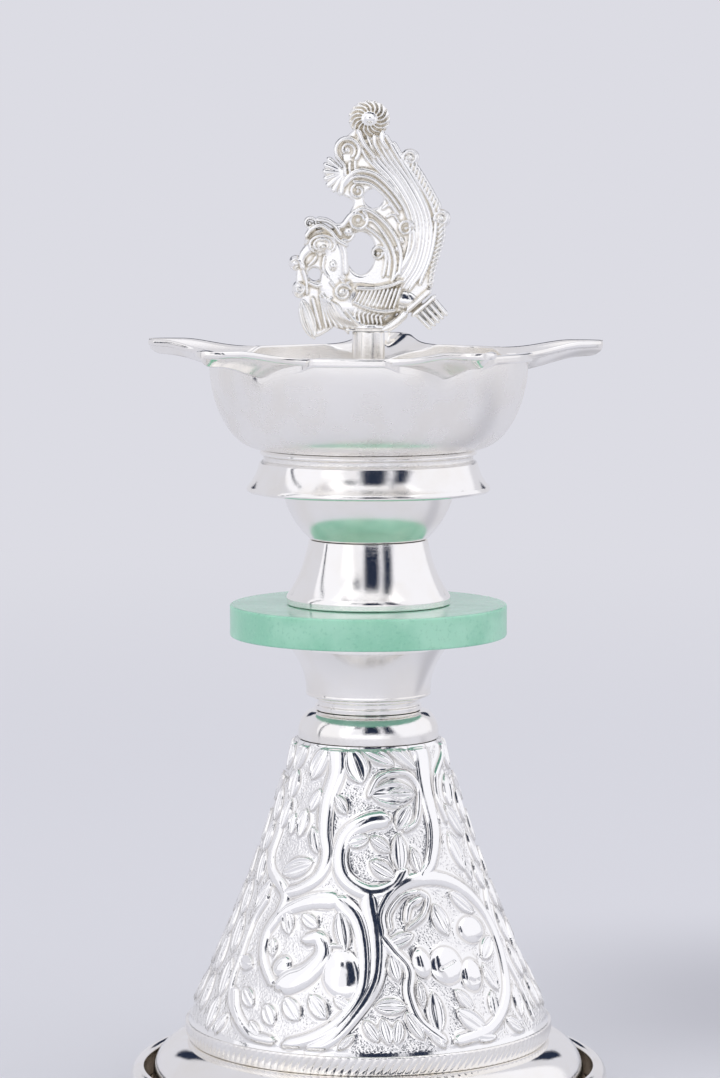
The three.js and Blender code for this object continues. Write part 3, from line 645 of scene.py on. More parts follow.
@dataclass(frozen=True)
class PolishedSilver:
    """Silver plate polished on a wheel: near mirror, with faint cloudiness and hairlines round the axis."""

    name: str = "polished_silver"
    light: Colour = (0.955, 0.94, 0.915, 1)
    cloudy: Colour = (0.93, 0.905, 0.86, 1)
    # Brown painted shade and reflection for the base's rolled ring and trough.
    painted_shade: Colour = (0.33, 0.245, 0.15, 1)
    roughness: float = 0.055
    clouding: float = 0.06
    hairlines: float = 0.012
    satin: float = 0.2
    granular: float = 0.0
    cloud_size: float = 9.0
    line_size: float = 0.7
    streak_size: float = 8.0
    grain_size: float = 0.55

    def material(self) -> bpy.types.Material:
        """Builds the material; a mesh may store painted shade, satin and solder as numbers per point.

        Returns:
            The material.
        """
        g = Graph(self.name)
        cloud = g.noise(self.cloud_size, 4.0)
        fine = g.noise(self.line_size, 2.0, (1, 1, 9))
        painted_shade = g.attribute("painted_shade")
        colour = g.mix(cloud.between(0.35, 0.7), self.light, self.cloudy)
        # Painted shade: brown mixed into the colour where the mesh stores it.
        colour = g.mix(painted_shade, colour, self.painted_shade)
        satin = g.attribute("satin")
        streaks = g.noise(self.streak_size, 1.0, (1, 1, 6))
        rough = self.roughness + self.clouding * cloud.between(0.4, 0.75) + 0.25 * painted_shade
        rough = rough + satin * self.satin * (0.85 + 0.3 * streaks)
        normal = g.bump(fine * (1 - satin), 1.0, self.hairlines)
        if self.granular:
            solder = g.attribute("solder")
            grains = g.noise(self.grain_size, 3.0)
            normal = g.bump(grains * solder, 1.0, self.granular, normal)
            rough = rough + 0.12 * solder
        return g.principled({"Base Color": colour, "Metallic": 1.0, "Roughness": rough, "Normal": normal})


@dataclass(frozen=True)
class EmbossedSilver:
    """Embossed silver plate: polished forms on a ground that is stippled with a fine punch."""

    name: str = "embossed_silver"
    raised: Colour = (0.985, 0.978, 0.96, 1)
    ground: Colour = (0.95, 0.94, 0.92, 1)
    # Colour of the painted shade round each form.
    recess_shade: Colour = (0.76, 0.74, 0.71, 1)
    roughness: float = 0.09
    stipple_size: float = 0.66
    stipple_depth: float = 0.22
    scatter_size: float = 1.6
    dent_size: float = 2.6
    dent_depth: float = 0.1

    def material(self) -> bpy.types.Material:
        """Builds the material; the mesh stores 1 on the ground, and 1 in the narrow hollow round each form,
        where shade is painted darker.

        Returns:
            The material.
        """
        g = Graph(self.name)
        ground = g.attribute("ground")
        recess_shade = g.attribute("recess_shade")
        punch = g.node(
            "ShaderNodeTexVoronoi",
            {"feature": "SMOOTH_F1"},
            {0: g.coordinates(), "Scale": 1 / (self.stipple_size * MM), "Smoothness": 0.35},
        )
        scatter = g.noise(self.scatter_size, 2.0)
        colour = g.mix(ground * 0.6, self.raised, self.ground)
        # Painted shade in the narrow hollow round each form.
        colour = g.mix(recess_shade, colour, self.recess_shade)
        rough = self.roughness + 0.1 * ground + 0.06 * scatter.between(0.4, 0.7)
        normal = g.bump(g.noise(self.dent_size, 2.0), 0.5, self.dent_depth)
        normal = g.bump(punch * ground, 1.0, self.stipple_depth, normal)
        return g.principled({"Base Color": colour, "Metallic": 1.0, "Roughness": rough, "Normal": normal})


@dataclass(frozen=True)
class CastSilver:
    """Cast silver plate: bright crests, a warm painted shade in the hollows and a slightly grainy skin."""

    name: str = "cast_silver"
    crest: Colour = (0.99, 0.985, 0.965, 1)
    # Colour of the warm painted shade in the hollows.
    recess_shade: Colour = (0.82, 0.765, 0.66, 1)
    roughness: float = 0.12
    grain: float = 0.02
    grain_size: float = 0.45

    def material(self) -> bpy.types.Material:
        """Builds the material; the mesh stores 1 in recesses and 0 on crests, and the recesses get a darker
        painted shade.

        Returns:
            The material.
        """
        g = Graph(self.name)
        recess_shade = g.attribute("recess_shade")
        grain = g.noise(self.grain_size, 3.0)
        # Painted shade in the hollows, warmer and darker than the crests.
        colour = g.mix(recess_shade, self.crest, self.recess_shade)
        rough = self.roughness + 0.16 * recess_shade + 0.08 * grain.between(0.4, 0.7)
        normal = g.bump(grain, 1.0, self.grain)
        return g.principled({"Base Color": colour, "Metallic": 1.0, "Roughness": rough, "Normal": normal})


@dataclass(frozen=True)
class GreenStone:
    """Pale green stone, cloudy and finely speckled, with polished faces and a finely ground edge."""

    name: str = "green_stone"
    body: Colour = (0.255, 0.565, 0.415, 1)
    pale: Colour = (0.36, 0.665, 0.515, 1)
    fleck: Colour = (0.16, 0.43, 0.3, 1)
    roughness: float = 0.16
    edge_roughness: float = 0.34
    cloud_size: float = 11.0
    fleck_size: float = 0.9
    pit_size: float = 0.5

    def material(self) -> bpy.types.Material:
        """Builds the material; the mesh stores 1 on the disc's edge and 0 on its faces.

        Returns:
            The material.
        """
        g = Graph(self.name)
        edge = g.attribute("edge")
        clouds = g.noise(self.cloud_size, 4.0)
        flecks = g.noise(self.fleck_size, 2.0)
        colour = g.mix(clouds.between(0.35, 0.68), self.body, self.pale)
        colour = g.mix(flecks.between(0.56, 0.7) * 0.3, colour, self.fleck)
        colour = g.mix(flecks.between(0.42, 0.3) * 0.3, colour, self.pale)
        rough = self.roughness + (self.edge_roughness - self.roughness) * edge + 0.05 * clouds
        normal = g.bump(g.noise(self.pit_size, 2.0), 0.5, 0.02)
        surface = {"Base Color": colour, "Roughness": rough, "Normal": normal, "IOR": 1.54}
        depth = {
            "Subsurface Weight": 0.25,
            "Subsurface Radius": (0.4, 1.0, 0.7),
            "Subsurface Scale": 2.5 * MM,
        }
        return g.principled({**surface, **depth, "Coat Weight": 0.25, "Coat Roughness": 0.08})


@dataclass(frozen=True)
class PlainFinish:
    """A plain workshop finish: one colour with blotches, uneven roughness and a fine grain."""

    name: str
    colour: Colour
    worn: Colour
    roughness: float
    metallic: float = 0.0
    grain_size: float = 0.6
    grain: float = 0.03
    stretch: tuple[float, float, float] = (1, 1, 1)

    def material(self) -> bpy.types.Material:
        """Builds the material.

        Returns:
            The material.
        """
        g = Graph(self.name)
        blotch = g.noise(5.0, 3.0)
        fine = g.noise(self.grain_size, 3.0, self.stretch)
        colour = g.mix(blotch.between(0.35, 0.7), self.colour, self.worn)
        rough = self.roughness + 0.12 * blotch.between(0.3, 0.7)
        normal = g.bump(fine, 1.0, self.grain)
        return g.principled(
            {"Base Color": colour, "Metallic": self.metallic, "Roughness": rough, "Normal": normal}
        )


@dataclass
class Finishes:
    """All materials of the lamp, each made once."""

    silver: bpy.types.Material = field(default_factory=lambda: PolishedSilver().material())
    soldered: bpy.types.Material = field(
        default_factory=lambda: PolishedSilver(name="soldered_silver", granular=0.35).material()
    )
    embossed: bpy.types.Material = field(default_factory=lambda: EmbossedSilver().material())
    cast: bpy.types.Material = field(default_factory=lambda: CastSilver().material())
    stone: bpy.types.Material = field(default_factory=lambda: GreenStone().material())
    rubber: bpy.types.Material = field(
        default_factory=lambda: PlainFinish(
            "gasket_rubber", (0.022, 0.022, 0.025, 1), (0.035, 0.034, 0.035, 1), 0.7, grain=0.05
        ).material()
    )
    nylon: bpy.types.Material = field(
        default_factory=lambda: PlainFinish(
            "bush_nylon", (0.72, 0.7, 0.62, 1), (0.66, 0.63, 0.54, 1), 0.42
        ).material()
    )
    steel: bpy.types.Material = field(
        default_factory=lambda: PlainFinish(
            "clamp_steel", (0.56, 0.555, 0.54, 1), (0.45, 0.44, 0.42, 1), 0.28, 1.0, 0.3, 0.02, (1, 1, 6)
        ).material()
    )


@dataclass(frozen=True)
class Seat:
    """Where a node of the frame stands: its foot, its top and its outer radius, in millimetres."""

    foot: float
    top: float
    radius: float

    @classmethod
    def of(cls, node: str) -> Seat:
        """Reads a node's box from the frame."""
        low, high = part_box(node)
        return cls(low.z / MM, high.z / MM, max(high.x, high.y, -low.x, -low.y) / MM)

    @property
    def height(self) -> float:
        """Height of the node."""
        return self.top - self.foot


def dress(piece: bpy.types.Object, material: bpy.types.Material, body: str, slot: str, *nodes: str) -> None:
    """Gives a piece its material and body, lets it stand for CAD nodes, and reports it.

    Args:
        piece: The new piece.
        material: Its material.
        body: The body that it rides on.
        slot: The record's material slot; not used.
        nodes: CAD nodes that it stands for.
    """
    piece.data.materials.append(material)
    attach(piece, body)
    if nodes:
        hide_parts(*nodes)
    log.info("%s: %d faces, on %s", piece.name, len(piece.data.polygons), body)


def plate(piece: bpy.types.Object, material: bpy.types.Material, node: str) -> None:
    """Dresses a plated piece of the stand that stands for one node."""
    dress(piece, material, "stand", "silver_plate", node)


def turned_piece(name: str, rows: Array, facets: int) -> bpy.types.Object:
    """A piece turned about the lamp's axis from the rows of its outline."""
    return make_piece(name, *turned(rows, facets))


@dataclass
class Base:
    """Rolled ring, pressed floor sheet, skirt and rope band."""

    rim_wall: float = 3.8
    rim_lip: float = 1.2
    ledge_height: float = 2.2
    ledge_reach: float = 5.2
    bottom_round: float = 2.4
    skirt_upright: float = 3.4
    skirt_wall: float = 1.0
    band_inset: float = 0.96
    band_top_inset: float = 0.26
    band_bulge: float = 1.1
    band_inner_step: float = 1.6
    rope_turns: int = 150
    rope_depth: float = 0.32
    rope_lean: float = 1.25
    rope_level: float = 0.45
    rope_columns: int = 1800
    rope_rows: int = 12
    dome_radius: float = 16.0
    dome_slope: float = 6.0
    tray_wall: float = 1.2

    def rim(self) -> bpy.types.Object:
        """The rolled ring: elliptical arcs up and over its swollen edge, then down inside to a ledge.

        Returns:
            The piece, in its place.
        """
        seat = Seat.of("base_rim")
        inner = seat.radius - self.rim_wall
        edge = self.bottom_round
        swell = (seat.top + edge) / 2
        lip = self.rim_lip
        rows = rounded(
            (inner - self.ledge_reach, 0, 0.4),
            arc((seat.radius - edge, edge), (edge, edge), -90, 0, 10),
            arc((inner + lip, swell), (self.rim_wall - lip, seat.top - swell), 8, 90, 12),
            arc((inner + lip, seat.top - lip), (lip, lip), 96, 180, 8),
            (inner, self.ledge_height, 0.3),
            (inner - self.ledge_reach, self.ledge_height, 0.3),
        )
        piece = turned_piece("rolled_base_ring", rows, RIM_ROUND)
        radius, height = rows[:, 0], rows[:, 1]
        # Painted shade and brown reflection on the ring's inner wall, below its top.
        painted_shade_mask = smooth(radius, inner + 0.9, inner + 0.1) * smooth(height, seat.top - 0.6, seat.top - 2.6)
        paint(piece, "painted_shade", np.repeat(painted_shade_mask * (height > self.ledge_height / 2), RIM_ROUND))
        return piece

    def skirt(self) -> bpy.types.Object:
        """The skirt: a quarter ellipse from its upright foot in to the band, and one inside for the wall.

        Returns:
            The piece, in its place.
        """
        seat, band = Seat.of("base_skirt"), Seat.of("rope_band")
        shoulder = seat.foot + self.skirt_upright
        inner_edge = band.radius - self.band_inset
        reach = seat.radius - inner_edge
        rise = seat.top - shoulder
        wall = self.skirt_wall
        rows = rounded(
            (seat.radius, seat.foot, 0.2),
            arc((inner_edge, shoulder), (reach, rise), 0, 90, 40),
            (inner_edge - self.band_inner_step, seat.top, 0.1),
            (inner_edge - self.band_inner_step, seat.top - wall, 0.1),
            arc((inner_edge, shoulder), (reach - wall, rise - wall), 90, 0, 16),
            (seat.radius - wall, seat.foot, 0.2),
        )
        piece = turned_piece("domed_skirt", rows, RIM_ROUND)
        # Painted shade, darker towards the skirt's foot in the trough.
        painted_shade_mask = smooth(rows[:, 1], seat.foot + 3.0, seat.foot + 0.4)
        paint(piece, "painted_shade", np.repeat(painted_shade_mask, RIM_ROUND))
        return piece

    def tray(self) -> bpy.types.Object:
        """The floor sheet: two flats joined by a slope, the inner one higher, with painted shade in the
        trough.

        Returns:
            The piece, in its place.
        """
        seat, ring = Seat.of("base_tray"), Seat.of("base_rim")
        wall = self.tray_wall
        rise = seat.height - wall
        dome = self.dome_radius
        foot = dome + self.dome_slope
        edge = ring.radius - self.rim_wall - 0.2
        rows = rounded(
            (BORE, seat.foot + rise, 0.1),
            (dome, seat.foot + rise, 2.0),
            (foot, seat.foot, 2.0),
            (edge, seat.foot, 0.1),
            (edge, seat.foot + wall, 0.1),
            (foot, seat.foot + wall, 2.0),
            (dome, seat.top, 2.0),
            (BORE, seat.top, 0.1),
        )
        piece = turned_piece("pressed_floor", rows, ROUND)
        # Painted shade in the trough beside the rolled ring.
        painted_shade_mask = smooth(rows[:, 0], 50.0, 54.0) * 0.9
        paint(piece, "painted_shade", np.repeat(painted_shade_mask, ROUND))
        return piece

    def rope(self) -> bpy.types.Object:
        """The rope band: a half-round bead whose strands lean over as they go round.

        Round the band the radius swings by the rope depth times a power of the absolute sine of an angle that
        grows with azimuth and with height, so that each strand slants. A mask fades the strands out at the
        band's edges, and the rope level is the share of a strand that stays inside the plain bead.

        Returns:
            The piece, in its place.
        """
        seat = Seat.of("rope_band")
        lower, upper = seat.radius - self.band_inset, seat.radius - self.band_top_inset
        t = np.linspace(0, 1, self.rope_rows + 1)
        bulge = (1 - t) * lower + t * upper + self.band_bulge * t * (1 - t)
        inner = lower - self.band_inner_step
        radius = np.concatenate((bulge, [inner, inner]))
        height = np.concatenate((seat.foot + t * seat.height, [seat.top, seat.foot]))
        angle = 2 * math.pi * np.arange(self.rope_columns) / self.rope_columns
        mask = np.concatenate((np.sin(math.pi * np.clip(t, 0.02, 0.98)) ** 0.6, [0, 0]))
        lean = np.concatenate((t, [1, 0])) * self.rope_lean
        strand = np.abs(np.sin(self.rope_turns * angle[None, :] / 2 - math.pi * lean[:, None])) ** 0.7
        r = radius[:, None] + self.rope_depth * mask[:, None] * (strand - self.rope_level)
        points = around(r, height[:, None], angle).reshape(-1, 3)
        return make_piece("rope_bead", points, grid_faces(len(radius), self.rope_columns, True, True))

    def build(self, finishes: Finishes) -> None:
        """Makes and dresses the four pieces.

        Args:
            finishes: The object's finishes.
        """
        plate(self.rim(), finishes.silver, "base_rim")
        plate(self.tray(), finishes.silver, "base_tray")
        plate(self.skirt(), finishes.silver, "base_skirt")
        plate(self.rope(), finishes.silver, "rope_band")


@dataclass
class EmbossedCone:
    """Sheet cone embossed with scrolling vines, drawn on the flat pattern that the sheet is rolled from.

    On the pattern, places are [across, up] from the middle of the foot. The pattern's apex lies above it.
    A place's distance from the apex is its distance down the flank plus the top radius over the flank's
    slope. The front half is drawn, and the back half repeats it. The ground swells towards each form over
    the swell's reach. The seams are the edges of the drawn half, at their angle from its middle line. The
    margins and spans are the two distances between which the embossing, the ground's stipple and the
    painted shade in the narrow hollow round the forms come up.
    """

    bottom_radius: float = 45.4
    top_radius: float = 18.2
    waist_pull: float = 4.3
    wall: float = 1.2
    wall_rows: int = 9
    emboss: float = 1.2
    leaf_breadth: float = 1.15
    swell: float = 0.38
    swell_reach: float = 1.5
    foot_margin: Pair = (0.6, 1.6)
    top_margin: Pair = (0.3, 1.2)
    ground_span: Pair = (0.5, 1.2)
    recess_shade_span: Pair = (0.45, 0.1)
    apex: float = 161.0
    seam_angle: float = 0.443
    seam_leaves: int = 8
    seam_start: float = 138.0
    seam_pitch: float = 10.0
    seam_leaf: float = 8.0
    sectors: int = 4
    rows: int = 290
    columns: int = 320

    def flank(self) -> Array:
        """Outer [radius, height] rows from foot to top: a straight flank drawn in a little at half height.

        Returns:
            The rows.
        """
        seat = Seat.of("cone_shell")
        pull = ((self.bottom_radius + self.top_radius) / 2 - self.waist_pull, (seat.foot + seat.top) / 2)
        return bend((self.bottom_radius, seat.foot), pull, (self.top_radius, seat.top), self.rows - 1)

    def pattern(self, flank: Array, azimuth: Array) -> tuple[Array, Array]:
        """Places on the flat pattern, for each row of the flank and each azimuth from the front.

        The slope is the loss of radius over the flank's length. A place's angle at the apex is its azimuth
        times the slope; across and up are its distance from the apex times that angle's sine and cosine.

        Args:
            flank: Rows of [radius, height].
            azimuth: Radians from the front line.

        Returns:
            Across and up, one row for each row of the flank.
        """
        run = np.concatenate(([0.0], np.cumsum(np.linalg.norm(np.diff(flank, axis=0), axis=1))))
        slope = (self.bottom_radius - self.top_radius) / run[-1]
        reach = (self.top_radius / slope + run[-1] - run)[:, None]
        angle = slope * azimuth[None, :]
        return reach * np.sin(angle), reach[0] - reach * np.cos(angle)

    def draw(self, relief: Relief) -> None:
        """Draws the front half.

        Args:
            relief: Relief that is drawn on.
        """
        self._stems(relief)
        self._left_scroll(relief)
        self._right_scroll(relief)
        self._upper_leaves(relief)
        self._foot_leaves(relief)
        self._flank_leaves(relief)
        self._seam_leaves(relief)

    def _leaves(self, relief: Relief, *leaves: tuple[float, ...], rise: float = 1.0) -> None:
        """Leaves as rows of root across, root up, tip across, tip up and half width.

        Args:
            relief: Relief that is drawn on.
            *leaves: The rows.
            rise: Factor on the emboss.
        """
        for root_x, root_y, tip_x, tip_y, half in leaves:
            root, tip = (root_x, root_y), (tip_x, tip_y)
            relief.leaf(root, tip, self.leaf_breadth * half, rise * self.emboss)

    def _vines(self, relief: Relief, *vines: tuple) -> None:
        """Vines as rows of the two half widths, the height as a share, then the curve's points."""
        for start, end, share, *path in vines:
            relief.stroke(path, (start, end), share * self.emboss)

    def _stems(self, relief: Relief) -> None:
        """The vines: broad smooth ridges that run down from the collar and open into the scrolls.

        Args:
            relief: Relief that is drawn on.
        """
        self._vines(
            relief,
            (2.7, 1.5, 1, (-8.5, 79), (-8, 71), (-11, 63), (-11.7, 56))
            + ((-11, 50), (-13.2, 45), (-18, 42.6), (-23, 42)),
            (2.2, 2.0, 1, (5, 58.8), (-0.5, 57.8), (-5.8, 54.6), (-7.6, 49))
            + ((-5.7, 43.6), (0.4, 40.4), (6.4, 42), (9.6, 46)),
            (2.9, 1.6, 1, (0.2, 40), (1, 36), (1.9, 31.8), (2.3, 24.2))
            + ((1, 17.6), (-3.2, 11), (-8.7, 4.8), (-15, 1.6)),
            (1.0, 0.8, 1, (0, 64.2), (2.9, 69), (9.4, 70.4), (13, 67.2))
            + ((13.4, 62.4), (12.4, 58.4), (9.2, 56)),
            (2.9, 1.6, 1, (11.6, 79), (14, 75.4), (15.4, 67.4), (18.2, 57.4), (17, 49), (14, 44.6)),
            (1.0, 0.7, 1, (22.4, 82), (22.4, 77.5), (19.2, 71.4), (19.6, 65.5), (22.6, 60)),
            (1.7, 1.6, 1, (-27, 60), (-30, 53.4), (-29, 48.4), (-23.4, 42), (-25, 36.8), (-29, 32.6)),
            (1.2, 0.9, 1, (-29.5, 42), (-34.4, 36.6), (-37.2, 29.4), (-39.6, 22.4), (-39, 16), (-34, 9)),
            (1.2, 0.9, 1, (38.6, 46), (38.2, 40), (41.2, 30.4), (47, 22), (50, 14)),
        )

    def _left_scroll(self, relief: Relief) -> None:
        """The left scroll: a round vine about a curled leaf with its bud and a round boss.

        Args:
            relief: Relief that is drawn on.
        """
        self._vines(
            relief,
            (2.4, 1.6, 1, (-8, 38.8), (-2.8, 33.4), (-0.9, 24.6), (-1.8, 15.8))
            + ((-6.4, 9.2), (-13.2, 5.2), (-21, 3.4)),
            (2.3, 1.2, 1, (-8, 38.8), (-16, 38.9), (-24.4, 36.8), (-29, 32), (-29, 25.6), (-25.4, 19)),
            (1.8, 1.2, 1, (-38.6, 19.4), (-36.4, 13), (-31, 7.2), (-24, 4.6)),
            (3.8, 1.6, 1.35, (-23, 18.9), (-16.4, 20.6), (-11.8, 25.2), (-12.8, 29.4), (-16.8, 29.4)),
            (0.7, 0.4, 0.8, (-11, 25), (-9.6, 27.4), (-6.6, 27.2)),
        )
        relief.lump((-23, 23.4), (3.0, 2.6), 1.25 * self.emboss, 20)
        relief.lump((-6.6, 20.4), (5.2, 6.4), 1.35 * self.emboss, 15)
        self._leaves(
            relief,
            (-22.6, 38.0, -21.2, 31.2, 1.8),
            (-7.6, 36.0, -5.8, 26.0, 2.0),
            (-26.6, 31.0, -25.8, 26.2, 1.3),
            (-17.6, 35.8, -13.2, 32.2, 1.5),
            (-31.0, 14.0, -35.0, 19.4, 1.7),
            (-24.4, 8.6, -27.2, 14.2, 1.8),
            (-17.6, 9.4, -21.6, 15.4, 2.0),
            (-10.6, 9.4, -14.8, 15.6, 1.9),
            (-4.4, 11.6, -8.6, 14.6, 1.3),
            (-31.6, 10.4, -28.0, 6.6, 1.0),
        )

    def _right_scroll(self, relief: Relief) -> None:
        """The right scroll: a wide round vine about a blossom, with a rolled leaf where it starts.

        Args:
            relief: Relief that is drawn on.
        """
        self._vines(
            relief,
            (1.9, 1.6, 1, (3.4, 29.6), (2.8, 35.4), (6.4, 41), (12.4, 44.2), (21.6, 45))
            + ((31.6, 42), (38.6, 36), (41, 27), (39.4, 17.4), (32.4, 8.8), (22, 4.4)),
            (1.6, 1.4, 1, (3.4, 29.6), (6.5, 25.9), (10.3, 21.5), (10.1, 15.6), (12.8, 9), (19, 4.4)),
            (0.7, 0.8, 0.8, (5.6, 31.4), (5.4, 35.4), (8.6, 39.6), (13, 41.2)),
            (0.9, 0.7, 1, (13, 41.2), (15.6, 39.6), (14.2, 35.2), (9.8, 31.6)),
            (1.3, 0.8, 1.2, (13.6, 39.4), (10.6, 37.4), (9.6, 33.2)),
        )
        for across, up, half_x, half_y, turn in (
            (13.6, 23.4, 2.5, 3.7, 15),
            (20.4, 23.4, 4.9, 4.7, 0),
            (28.0, 21.8, 3.4, 4.2, 0),
            (29.4, 33.6, 5.0, 3.5, 15),
        ):
            relief.lump((across, up), (half_x, half_y), 1.2 * self.emboss, turn)
        relief.groove([(18.6, 22.2), (20.4, 23.2), (22.4, 24.4)], 0.5, 0.6)
        relief.groove([(26.8, 20.4), (28.4, 20.0), (29.8, 20.6)], 0.5, 0.6)
        self._leaves(
            relief,
            (11.6, 30.4, 4.8, 27.4, 1.6),
            (5.6, 25.0, 7.4, 18.6, 1.7),
            (17.2, 38.4, 21.4, 31.0, 2.1),
            (22.4, 42.0, 30.6, 38.0, 1.8),
            (36.6, 33.0, 32.2, 26.4, 2.0),
            (36.8, 19.0, 32.0, 25.2, 1.8),
            (16.2, 16.4, 17.6, 6.2, 2.2),
            (22.6, 12.4, 31.0, 7.8, 2.3),
            (34.0, 18.4, 34.6, 11.6, 1.7),
            (22.6, 17.4, 27.6, 12.8, 1.5),
            (12.6, 19.0, 13.8, 12.6, 1.2),
        )

    def _upper_leaves(self, relief: Relief) -> None:
        """Leaves and the rimmed bud between the vines of the upper half.

        Args:
            relief: Relief that is drawn on.
        """
        self._leaves(
            relief,
            (-4.4, 76.0, -1.6, 67.4, 2.9),
            (-2.2, 76.4, 6.4, 72.2, 1.7),
            (3.2, 78.0, 12.4, 71.4, 1.5),
            (0.6, 64.5, 12.2, 65.4, 3.1),
            (10.8, 62.4, 7.4, 56.2, 2.0),
            (-5.6, 52.6, 0.2, 53.8, 1.6),
            (0.4, 54.0, 5.6, 50.6, 1.5),
            (0.2, 48.0, 6.6, 44.2, 2.0),
            (7.6, 55.2, 8.4, 45.6, 2.1),
            (-15.4, 69.6, -10.4, 77.0, 2.2),
            (-21.2, 62.2, -22.4, 56.6, 1.6),
            (-17.0, 62.4, -19.4, 55.6, 1.8),
            (-15.2, 57.6, -13.6, 50.6, 1.5),
            (-24.6, 47.2, -14.8, 48.6, 2.3),
            (11.4, 52.0, 13.4, 45.8, 1.4),
            (-12.4, 66.8, -15.8, 61.6, 1.4),
            (-8.6, 64.8, -5.6, 60.0, 1.4),
        )
        self._leaves(relief, (5.0, 64.8, 11.6, 65.3, 1.5), rise=1.55)
        relief.stroke([(-1.4, 76.6), (5.2, 76.4), (12, 71.8)], (0.8, 0.6), self.emboss)

    def _foot_leaves(self, relief: Relief) -> None:
        """Small leaves between the scrolls along the foot.

        Args:
            relief: Relief that is drawn on.
        """
        self._leaves(
            relief,
            (1.4, 12.2, 9.4, 12.4, 1.9),
            (-1.2, 8.8, 2.4, 3.6, 1.5),
            (3.2, 9.4, 5.0, 2.8, 1.6),
            (7.4, 9.0, 6.8, 3.0, 1.5),
            (9.2, 11.0, 13.6, 4.4, 1.5),
            (14.2, 8.4, 19.0, 2.6, 1.3),
            (-3.6, 5.2, -7.4, 1.8, 1.0),
            (27.0, 5.6, 34.0, 6.8, 1.2),
            (38.0, 12.0, 44.0, 9.6, 1.6),
        )

    def _seam_leaves(self, relief: Relief) -> None:
        """A zigzag chain of leaves beside each seam, above the flanks' lowest leaves.

        A leaf's root and tip lie at their distances from the apex and at shares of the seam's angle.

        Args:
            relief: Relief that is drawn on.
        """
        for side in (-1, 1):
            for k in range(self.seam_leaves):
                start = self.seam_start - self.seam_pitch * k
                shares = (0.95, 0.87) if k % 2 else (0.84, 0.92)
                ends = []
                for reach, share in zip((start, start - self.seam_leaf), shares):
                    angle = side * share * self.seam_angle
                    ends.append((reach * math.sin(angle), self.apex - reach * math.cos(angle)))
                relief.leaf(*ends, 2.0, self.emboss)

    def _flank_leaves(self, relief: Relief) -> None:
        """Chains of overlapping leaves down both flanks, which meet the back half's.

        Args:
            relief: Relief that is drawn on.
        """
        self._leaves(
            relief,
            (-16.8, 80.0, -22.0, 73.0, 2.0),
            (-20.6, 73.6, -23.2, 66.2, 2.1),
            (-22.8, 66.4, -26.8, 59.0, 1.9),
            (-28.4, 71.0, -30.4, 62.0, 1.9),
            (-30.4, 62.6, -35.4, 55.0, 1.9),
            (-33.6, 55.4, -35.0, 46.4, 1.8),
            (-28.4, 46.4, -34.4, 39.4, 1.7),
            (-39.0, 49.0, -41.6, 39.4, 2.0),
            (-40.0, 40.0, -42.6, 29.6, 2.0),
            (-45.4, 45.0, -49.4, 36.0, 1.9),
            (-46.8, 36.6, -50.4, 26.4, 2.0),
            (-41.8, 28.6, -44.4, 18.4, 1.9),
            (-32.6, 24.4, -38.0, 27.6, 1.7),
            (-50.4, 26.6, -53.6, 16.6, 1.9),
            (-44.6, 19.0, -47.4, 10.4, 1.8),
            (-56.6, 30.0, -61.0, 21.4, 1.9),
            (-39.6, 13.4, -44.0, 8.8, 1.5),
            (23.4, 72.8, 24.6, 64.4, 1.9),
            (22.2, 64.4, 30.0, 58.0, 2.0),
            (29.0, 71.0, 32.6, 62.4, 1.8),
            (23.0, 57.4, 29.2, 48.6, 2.1),
            (32.4, 60.0, 38.2, 52.2, 1.9),
            (33.2, 52.4, 38.2, 46.0, 1.8),
            (40.6, 51.0, 45.2, 42.6, 1.8),
            (42.4, 42.6, 47.0, 33.6, 1.9),
            (45.2, 33.6, 51.0, 25.4, 1.9),
            (50.6, 36.6, 55.6, 28.0, 1.9),
            (52.4, 26.6, 56.8, 18.6, 1.8),
            (43.6, 22.2, 44.6, 13.4, 1.7),
            (58.8, 27.0, 62.4, 20.6, 1.6),
            (28.4, 52.6, 31.6, 46.8, 1.3),
            (17.4, 63.4, 19.6, 57.6, 1.2),
        )

    def build(self, finishes: Finishes) -> None:
        """Makes the embossed sheet in sectors that share their edge points and normals.

        The drawing is a little wider than the front half, and the spare columns fold over to the other side.

        Args:
            finishes: The object's finishes.
        """
        flank = self.flank()
        radius, height = flank.T
        total = self.columns * self.sectors
        half = total // 2
        spare = half // 4
        step = 2 * math.pi / total
        azimuth = (np.arange(-half // 2 - spare, half // 2 + spare) + 0.5) * step
        relief = Relief(*self.pattern(flank, azimuth), halo=self.swell_reach)
        self.draw(relief)
        inside = self._folded(relief.inside, half, spare)
        swell = self.swell * self.emboss * smooth(inside, -self.swell_reach, 0)
        drawn = np.maximum(self._folded(relief.height, half, spare), swell)
        above_foot = smooth(height - height[0], *self.foot_margin)
        below_top = smooth(height[-1] - height, *self.top_margin)
        margin = (above_foot * below_top)[:, None]
        full = np.tile(drawn * margin, (1, 2))
        slope = np.gradient(flank, axis=0)
        slope /= np.linalg.norm(slope, axis=1, keepdims=True)
        outward = np.column_stack((slope[:, 1], -slope[:, 0]))
        r = radius[:, None] + full * outward[:, :1]
        z = height[:, None] + full * outward[:, 1:]
        turn = (np.arange(total) + 0.5) * step - math.pi
        points = around(r, z, turn)
        normals = self._normals(points)
        ground = np.tile(smooth(-inside, *self.ground_span) * margin, (1, 2))
        # Painted shade in a narrow band round the edge of each form.
        recess_shade = np.tile(smooth(np.abs(inside + 0.1), *self.recess_shade_span), (1, 2))
        for sector in range(self.sectors):
            columns = (np.arange(self.columns + 1) + sector * self.columns) % total
            fields = (values[:, columns] for values in (points, normals, ground, recess_shade))
            piece = self._sector(f"embossed_cone_{sector + 1}", *fields)
            dress(piece, finishes.embossed, "stand", "embossed_silver", "cone_shell")

